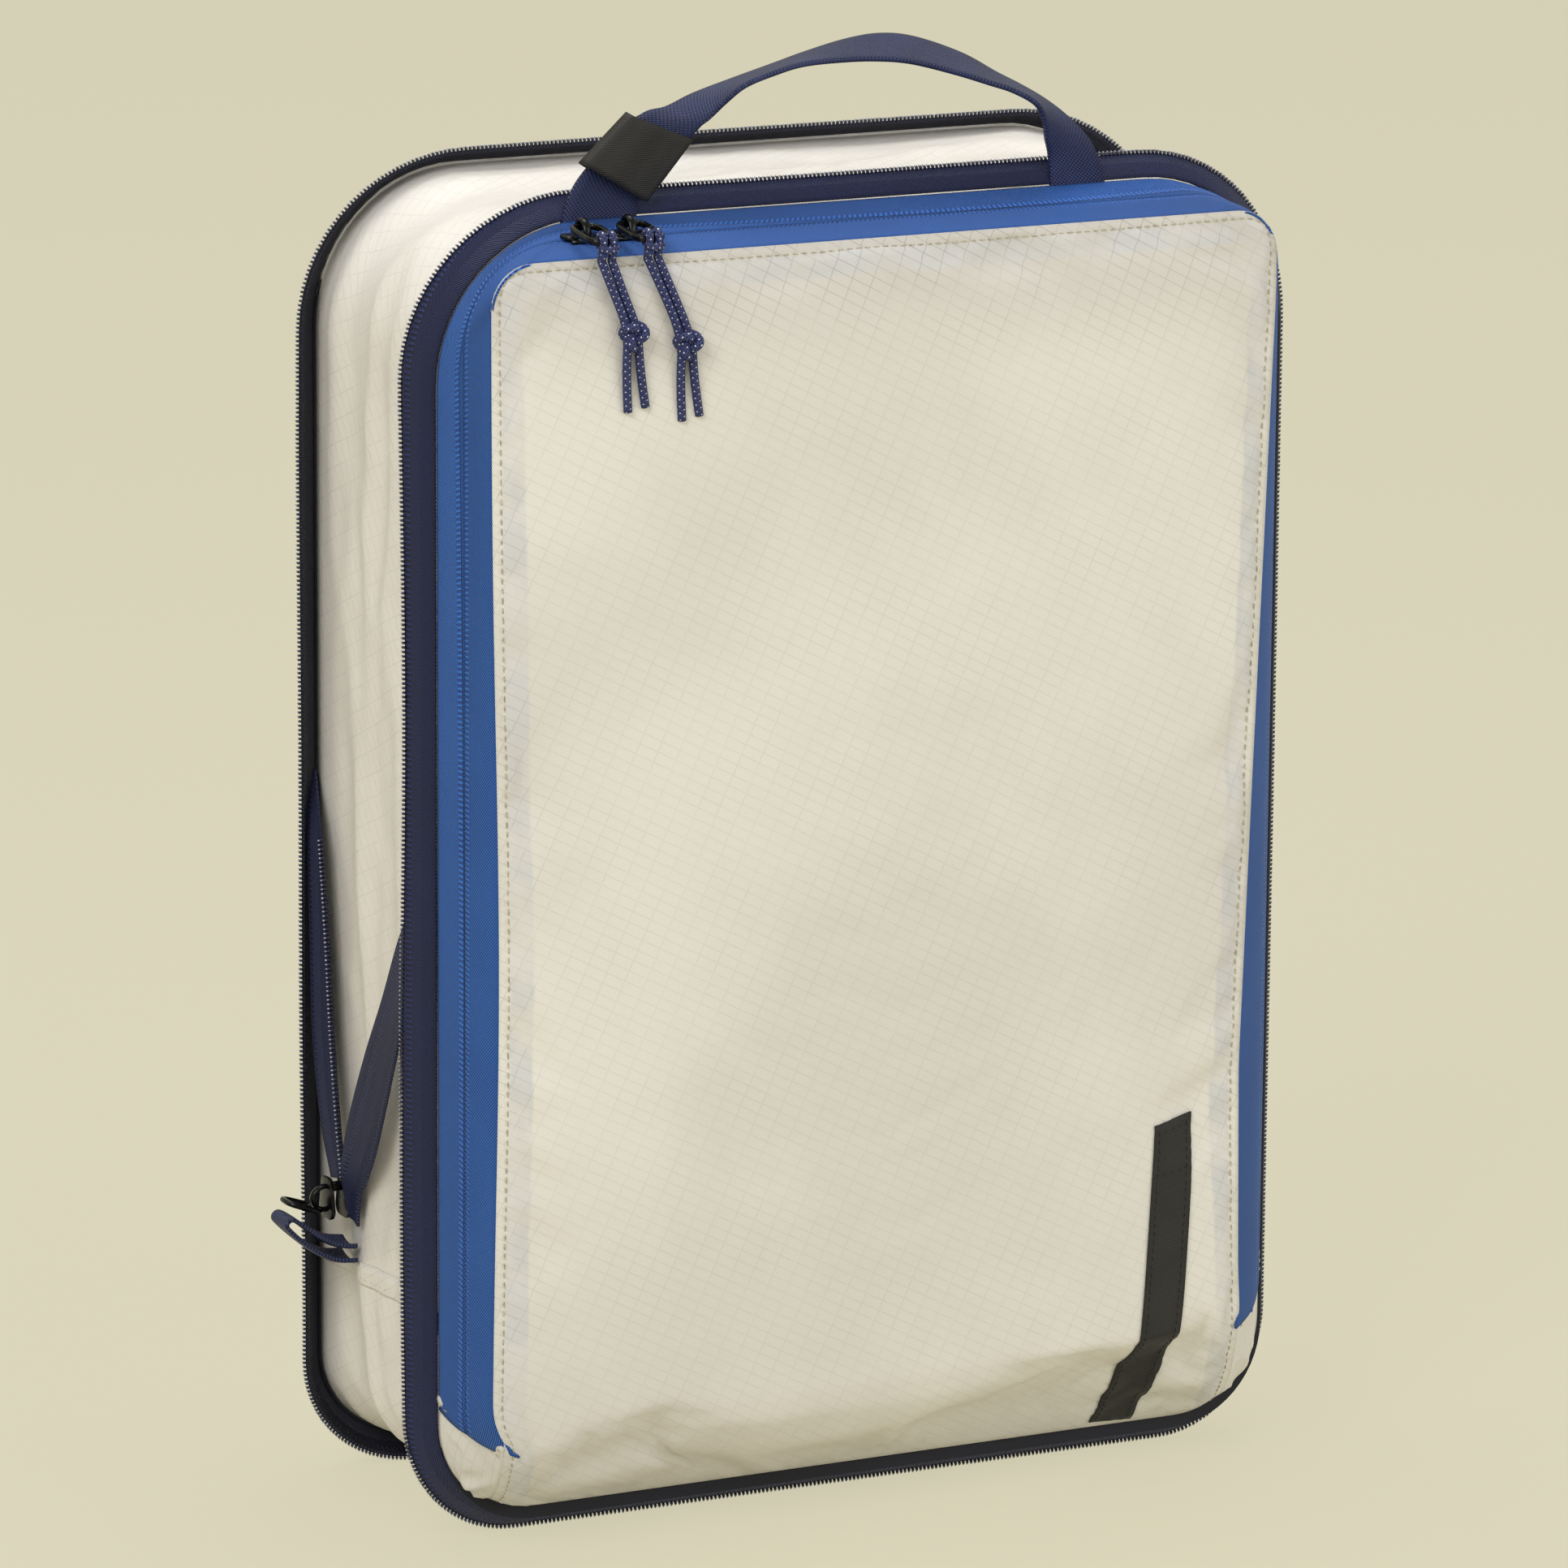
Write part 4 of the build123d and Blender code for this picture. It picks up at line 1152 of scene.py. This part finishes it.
# Expansion slider and grab tab --------------------------------------------------------------------
def shield(length, width, nose):
    """The plan of a slider plate: a rounded tail, straight sides and a narrower nose."""
    points = []
    for x, y, radius, start in ((length / 2, nose / 2, nose * 0.3, 0), (-length / 2, width / 2, width * 0.3, 90),
                                (-length / 2, -width / 2, width * 0.3, 180), (length / 2, -nose / 2, nose * 0.3, 270)):
        for step in range(6):
            turn = math.radians(start + 18 * step)
            points.append((x - math.copysign(radius, x) + radius * math.cos(turn),
                           y - math.copysign(radius, y) + radius * math.sin(turn)))
    return points


def frame_at(place, along_axis, up_axis):
    """A matrix that puts X along one axis and Z along another."""
    x, z = Vector(along_axis).normalized(), Vector(up_axis).normalized()
    return Matrix.Translation(place) @ Matrix((x, z.cross(x), z)).transposed().to_4x4()


def oval(place, first, second, radius_a, radius_b, power=2.6, count=56):
    """A closed loop with squared-off corners, between a round and a rectangle."""
    loop = []
    for turn in np.linspace(0, 2 * math.pi, count, endpoint=False):
        c, s = math.cos(turn), math.sin(turn)
        loop.append(place + first * math.copysign(abs(c) ** (2 / power), c) * radius_a
                    + second * math.copysign(abs(s) ** (2 / power), s) * radius_b)
    return loop


slider = middle("compression_slider_body")
slider_low, slider_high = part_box("compression_slider_body")
inner_x, outer_x = slider_high[0], slider_low[0]
plates = [plate("slider_plate", shield(0.0120, 0.0096, 0.0068), frame_at((x, slider.y, slider.z), (0, 0, 1), (-1, 0, 0)),
                0.0012, METAL) for x in (inner_x, outer_x + 0.0012)]
plates.append(tube("slider_post", [(inner_x - 0.001, slider.y, slider.z + 0.003),
                                   (outer_x + 0.001, slider.y, slider.z + 0.003)], 0.0014, METAL, sides=12))
body_piece = joined("expansion_slider", plates)
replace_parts(body_piece, "compression_slider_body")
bail_spot = middle("compression_slider_bail")
arch = [Vector((outer_x - 0.0042 * math.sin(t) + 0.0002, slider.y, slider.z - 0.0034 * math.cos(t)))
        for t in np.linspace(0, math.pi, 17)]
bail_piece = tube("expansion_slider_bail", arch, 0.0012, METAL, flat=0.6, facing=(0, 1, 0), sides=12)
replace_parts(bail_piece, "compression_slider_bail")
for made in (body_piece, bail_piece):
    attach(made, "compression_slider")
puller_low, puller_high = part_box("compression_puller")
reach = Vector((-(puller_high[0] - puller_low[0]), 0, puller_high[2] - puller_low[2])) / 2
ring_line = oval(middle("compression_puller"), reach.normalized(), Vector((0, 1, 0)), 0.0052, 0.0042, 3.0)
puller_piece = tube("expansion_puller_ring", ring_line, 0.0008, METAL, closed=True, sides=12)
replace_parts(puller_piece, "compression_puller")
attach(puller_piece, "compression_puller")


def make_grab_tab():
    """Webbing folded over itself into a short loop, its two ends caught in the gusset's seam."""
    profile = smooth_line(np.array([(-129.2, 0, 68.0), (-135.5, 0, 69.4), (-141.5, 0, 72.9), (-146.5, 0, 77.0),
                                    (-150.0, 0, 80.6), (-150.9, 0, 82.0), (-149.6, 0, 82.6), (-145.9, 0, 80.0),
                                    (-140.9, 0, 75.9), (-135.3, 0, 72.6), (-129.3, 0, 71.0)]) * MM, 60)
    rows = []
    for point in profile:
        reach = (-0.129 - point[0]) / 0.022
        half = 0.0058 - 0.0012 * max(0, reach - 0.6)
        cup = 0.0016 * (1 - reach)
        rows.append([(point[0], 0.0535 - 0.0025 * reach + half * s, point[2] + cup * s * s)
                     for s in np.linspace(-1, 1, 9)])
    return cloth_mesh("grab_tab_loop", np.array(rows), WEBBING, thick=0.0011, flip=True)


grab = make_grab_tab()
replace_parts(grab, "grab_tab")
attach(grab, "zip_carrier")


# Main sliders -------------------------------------------------------------------------------------
def main_slider(side):
    low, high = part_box(f"main_slider_{side}_body")
    spot = middle(f"main_slider_{side}_body")
    body = plate(f"main_slider_{side}_plate", shield(high[0] - low[0], high[1] - low[1], 0.0062),
                 frame_at((spot.x, spot.y, low[2]), (1 if side == "right" else -1, 0, 0), (0, 0, 1)),
                 0.0013, METAL, 0.0004)
    wings = [tube("slider_wing", [(low[0] + 0.0012, y, low[2] - 0.0002), (high[0] - 0.0012, y, low[2] - 0.0002)],
                  0.0008, METAL, sides=10) for y in (low[1] + 0.0007, high[1] - 0.0007)]
    whole = joined(f"main_slider_{side}_shell", [body, *wings])
    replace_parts(whole, f"main_slider_{side}_body")
    pivot = middle(f"main_slider_{side}_bail")
    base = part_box(f"main_slider_{side}_bail")[0][2]
    arch = [Vector((pivot.x, pivot.y - 0.0031 * math.cos(t), base + 0.0041 * math.sin(t)))
            for t in np.linspace(0, math.pi, 19)]
    bail = tube(f"main_slider_{side}_bridge", arch, 0.0012, METAL, flat=0.55, facing=(1, 0, 0), sides=12)
    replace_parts(bail, f"main_slider_{side}_bail")
    for made in (whole, bail):
        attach(made, f"main_slider_{side}")
    drop = math.radians(7)
    forward = Vector((0, -math.cos(drop), -math.sin(drop)))
    centre = pivot + forward * 0.00755
    loop = oval(centre, forward, Vector((1, 0, 0)), 0.00755, 0.0040, 4.0, 72)
    puller = tube(f"main_puller_{side}_loop", loop, 0.0010, METAL, closed=True, flat=0.8,
                  facing=tuple(forward.cross(Vector((1, 0, 0)))), sides=12)
    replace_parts(puller, f"main_puller_{side}")
    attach(puller, f"main_puller_{side}")


main_slider("left")
main_slider("right")

# Handle and tag -----------------------------------------------------------------------------------
HANDLE_EDGES = [
    (-93.0, -9.0, 368.5, -71.0, -9.0, 368.5), (-90.5, -9.0, 376.0, -69.5, -9.0, 374.5),
    (-84.9, -9.0, 383.8, -64.4, -9.0, 380.2), (-70.1, -8.0, 396.6, -56.1, -10.0, 389.1),
    (-59.8, -4.5, 398.4, -52.0, -13.5, 395.2), (-50.7, -2.3, 401.2, -47.5, -15.2, 400.7),
    (-38.3, -1.8, 404.6, -42.2, -16.2, 405.0), (-26.5, -1.8, 407.8, -33.3, -16.2, 407.9),
    (-17.0, -1.8, 410.4, -24.5, -16.2, 409.8), (-5.3, -2.0, 413.1, -13.0, -16.0, 410.2),
    (5.4, -2.2, 414.2, -2.0, -15.8, 409.8), (16.3, -2.2, 412.7, 8.8, -15.8, 408.4),
    (31.0, -2.0, 407.4, 22.0, -16.0, 404.8), (42.2, -1.8, 401.3, 32.7, -16.2, 401.3),
    (49.6, -1.8, 397.5, 40.6, -16.2, 398.5), (56.6, -2.4, 393.4, 48.0, -15.6, 394.2),
    (62.4, -5.0, 388.6, 51.7, -13.2, 388.6), (67.6, -7.8, 382.6, 53.5, -10.6, 382.6),
    (70.2, -9.0, 377.2, 55.3, -9.0, 377.2), (73.0, -9.0, 368.5, 55.9, -9.0, 368.5)]
handle = ribbon("handle_strap", HANDLE_EDGES, WEBBING, 0.0014, count=150, flip=True)
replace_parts(handle, "carry_handle")
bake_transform(handle)


def make_tag():
    """A bare label folded round the handle's left leg and stitched shut along its lower side."""
    corners = np.array([(-86.9, 384.6), (-73.0, 397.4), (-54.9, 389.8), (-68.8, 373.6)]) * MM
    rows = []
    for share in np.linspace(0, 1, 15):
        low = corners[0] * (1 - share) + corners[3] * share
        high = corners[1] * (1 - share) + corners[2] * share
        swell = 0.0013 + 0.0007 * math.sin(math.pi * min(1, share * 1.5)) ** 2
        rows.append([(*(low * (1 - t) + high * t), swell) for t in np.linspace(0, 1, 13)])
    rows = np.array(rows)
    shut = np.clip((np.linspace(0, 1, 15) - 0.72) / 0.2, 0, 1)[:, None]
    depth = rows[:, :, 2] * (1 - shut) + 0.0008 * shut
    lift = -0.0012
    front = np.stack([rows[:, :, 0], SEAM_FRONT + lift - depth, rows[:, :, 1]], axis=2)
    behind = np.stack([rows[:, :, 0], SEAM_FRONT + lift * 0 + depth, rows[:, :, 1]], axis=2)
    fold = (front[:1] + behind[:1]) / 2 + np.array((-0.0008, 0, 0.0006))
    grid = np.concatenate([behind[::-1], fold, front], axis=0)
    return cloth_mesh("size_tag_fold", grid, LABEL, thick=0.0006, flip=True), front


tag, tag_front = make_tag()
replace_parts(tag, "size_tag")
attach(tag, "handle")
tag_stitches = beads("size_tag_stitches", [[p + np.array((0, -0.0004, 0)) for p in tag_front[12, 1:-1]]], 0.0024,
                     (0.0019, 0.00045, 0.0004), THREAD_BLACK)
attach(tag_stitches, "handle")


# Label strip --------------------------------------------------------------------------------------
def make_label():
    """A bare strip sewn up the front from the lower seam, and the stitches round it."""
    left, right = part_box("label_strip")[0][0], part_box("label_strip")[1][0]
    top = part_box("label_strip")[1][2]
    rows = []
    for share in np.linspace(0, 1, 70):
        z = 0.0125 + (top - 0.0125) * share
        lean = -0.0050 * (1 - share)
        row = []
        for t in np.linspace(0, 1, 9):
            x = left + (right - left) * t + lean
            height = z + 0.0022 * t * share
            hit = front_tree.ray_cast(Vector((x, -0.2, height)), Vector((0, 1, 0)))
            spot, away = hit[0], hit[1]
            if away.y > 0:
                away = -away
            row.append(tuple(spot + away * 0.0007))
        rows.append(row)
    grid = np.array(rows)
    strip = cloth_mesh("bare_label_strip", grid, LABEL, thick=0.0006, flip=True)
    lines = [grid[1:-2, 1], grid[1:-2, -2], grid[-3, 1:-1], grid[-12, 1:-1]]
    stitches = beads("label_strip_stitches", [[p + np.array((0, -0.00025, 0)) for p in line] for line in lines],
                     0.0024, (0.0018, 0.00038, 0.0003), THREAD_BLACK)
    return strip, stitches


label, label_stitches = make_label()
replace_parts(label, "label_strip", "label_strip_foot")
for made in (label, label_stitches):
    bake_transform(made)

# Floor and light ----------------------------------------------------------------------------------
KHAKI = srgb(219, 214, 187)


def backdrop_colour(tree):
    """Mixes the backdrop's own colour in where it is seen, directly or in a reflection."""
    path = tree.nodes.new("ShaderNodeLightPath")
    seen = tree.nodes.new("ShaderNodeMath")
    seen.operation = "MAXIMUM"
    tree.links.new(path.outputs["Is Camera Ray"], seen.inputs[0])
    tree.links.new(path.outputs["Is Glossy Ray"], seen.inputs[1])
    both = tree.nodes.new("ShaderNodeMath")
    both.operation = "MAXIMUM"
    tree.links.new(seen.outputs[0], both.inputs[0])
    tree.links.new(path.outputs["Is Transmission Ray"], both.inputs[1])
    return both


floor_mesh = bpy.data.meshes.new("floor")
floor_mesh.from_pydata([(-9, -9, 0), (9, -9, 0), (9, 9, 0), (-9, 9, 0)], [], [(0, 1, 2, 3)])
floor_material = bpy.data.materials.new("floor_paper")
floor_material.use_nodes = True
tree = floor_material.node_tree
tree.nodes["Principled BSDF"].inputs["Base Color"].default_value = KHAKI
tree.nodes["Principled BSDF"].inputs["Roughness"].default_value = 0.95
glow = tree.nodes.new("ShaderNodeEmission")
glow.inputs["Color"].default_value = KHAKI
share = tree.nodes.new("ShaderNodeMath")
share.operation = "MULTIPLY"
share.inputs[1].default_value = 0.85
blend = tree.nodes.new("ShaderNodeMixShader")
tree.links.new(backdrop_colour(tree).outputs[0], share.inputs[0])
tree.links.new(share.outputs[0], blend.inputs[0])
tree.links.new(tree.nodes["Principled BSDF"].outputs[0], blend.inputs[1])
tree.links.new(glow.outputs[0], blend.inputs[2])
tree.links.new(blend.outputs[0], tree.nodes["Material Output"].inputs["Surface"])
adopt("floor", floor_mesh, floor_material)

world = bpy.data.worlds.new("studio")
bpy.context.scene.world = world
world.use_nodes = True
tree = world.node_tree
soft = tree.nodes["Background"]
soft.inputs["Color"].default_value = (1, 1, 1, 1)
soft.inputs["Strength"].default_value = 0.42
seen = tree.nodes.new("ShaderNodeBackground")
seen.inputs["Color"].default_value = KHAKI
blend = tree.nodes.new("ShaderNodeMixShader")
tree.links.new(backdrop_colour(tree).outputs[0], blend.inputs[0])
tree.links.new(soft.outputs[0], blend.inputs[1])
tree.links.new(seen.outputs[0], blend.inputs[2])
tree.links.new(blend.outputs[0], tree.nodes["World Output"].inputs["Surface"])


def lamp(name, place, size, power):
    """A large soft lamp that looks at the middle of the cube."""
    light = bpy.data.lights.new(name, "AREA")
    light.size, light.energy = size, power
    holder = bpy.data.objects.new(name, light)
    bpy.context.scene.collection.objects.link(holder)
    away = (Vector(place) - TARGET).normalized()
    holder.matrix_world = Matrix.Translation(place) @ away.to_track_quat("Z", "Y").to_matrix().to_4x4()


lamp("key", (-1.9, -1.5, 1.9), 1.3, 38)
lamp("fill", (1.6, -2.2, 1.1), 1.8, 20)
lamp("top", (0.1, 0.4, 2.4), 1.4, 24)
bpy.context.scene.view_settings.view_transform = "Standard"
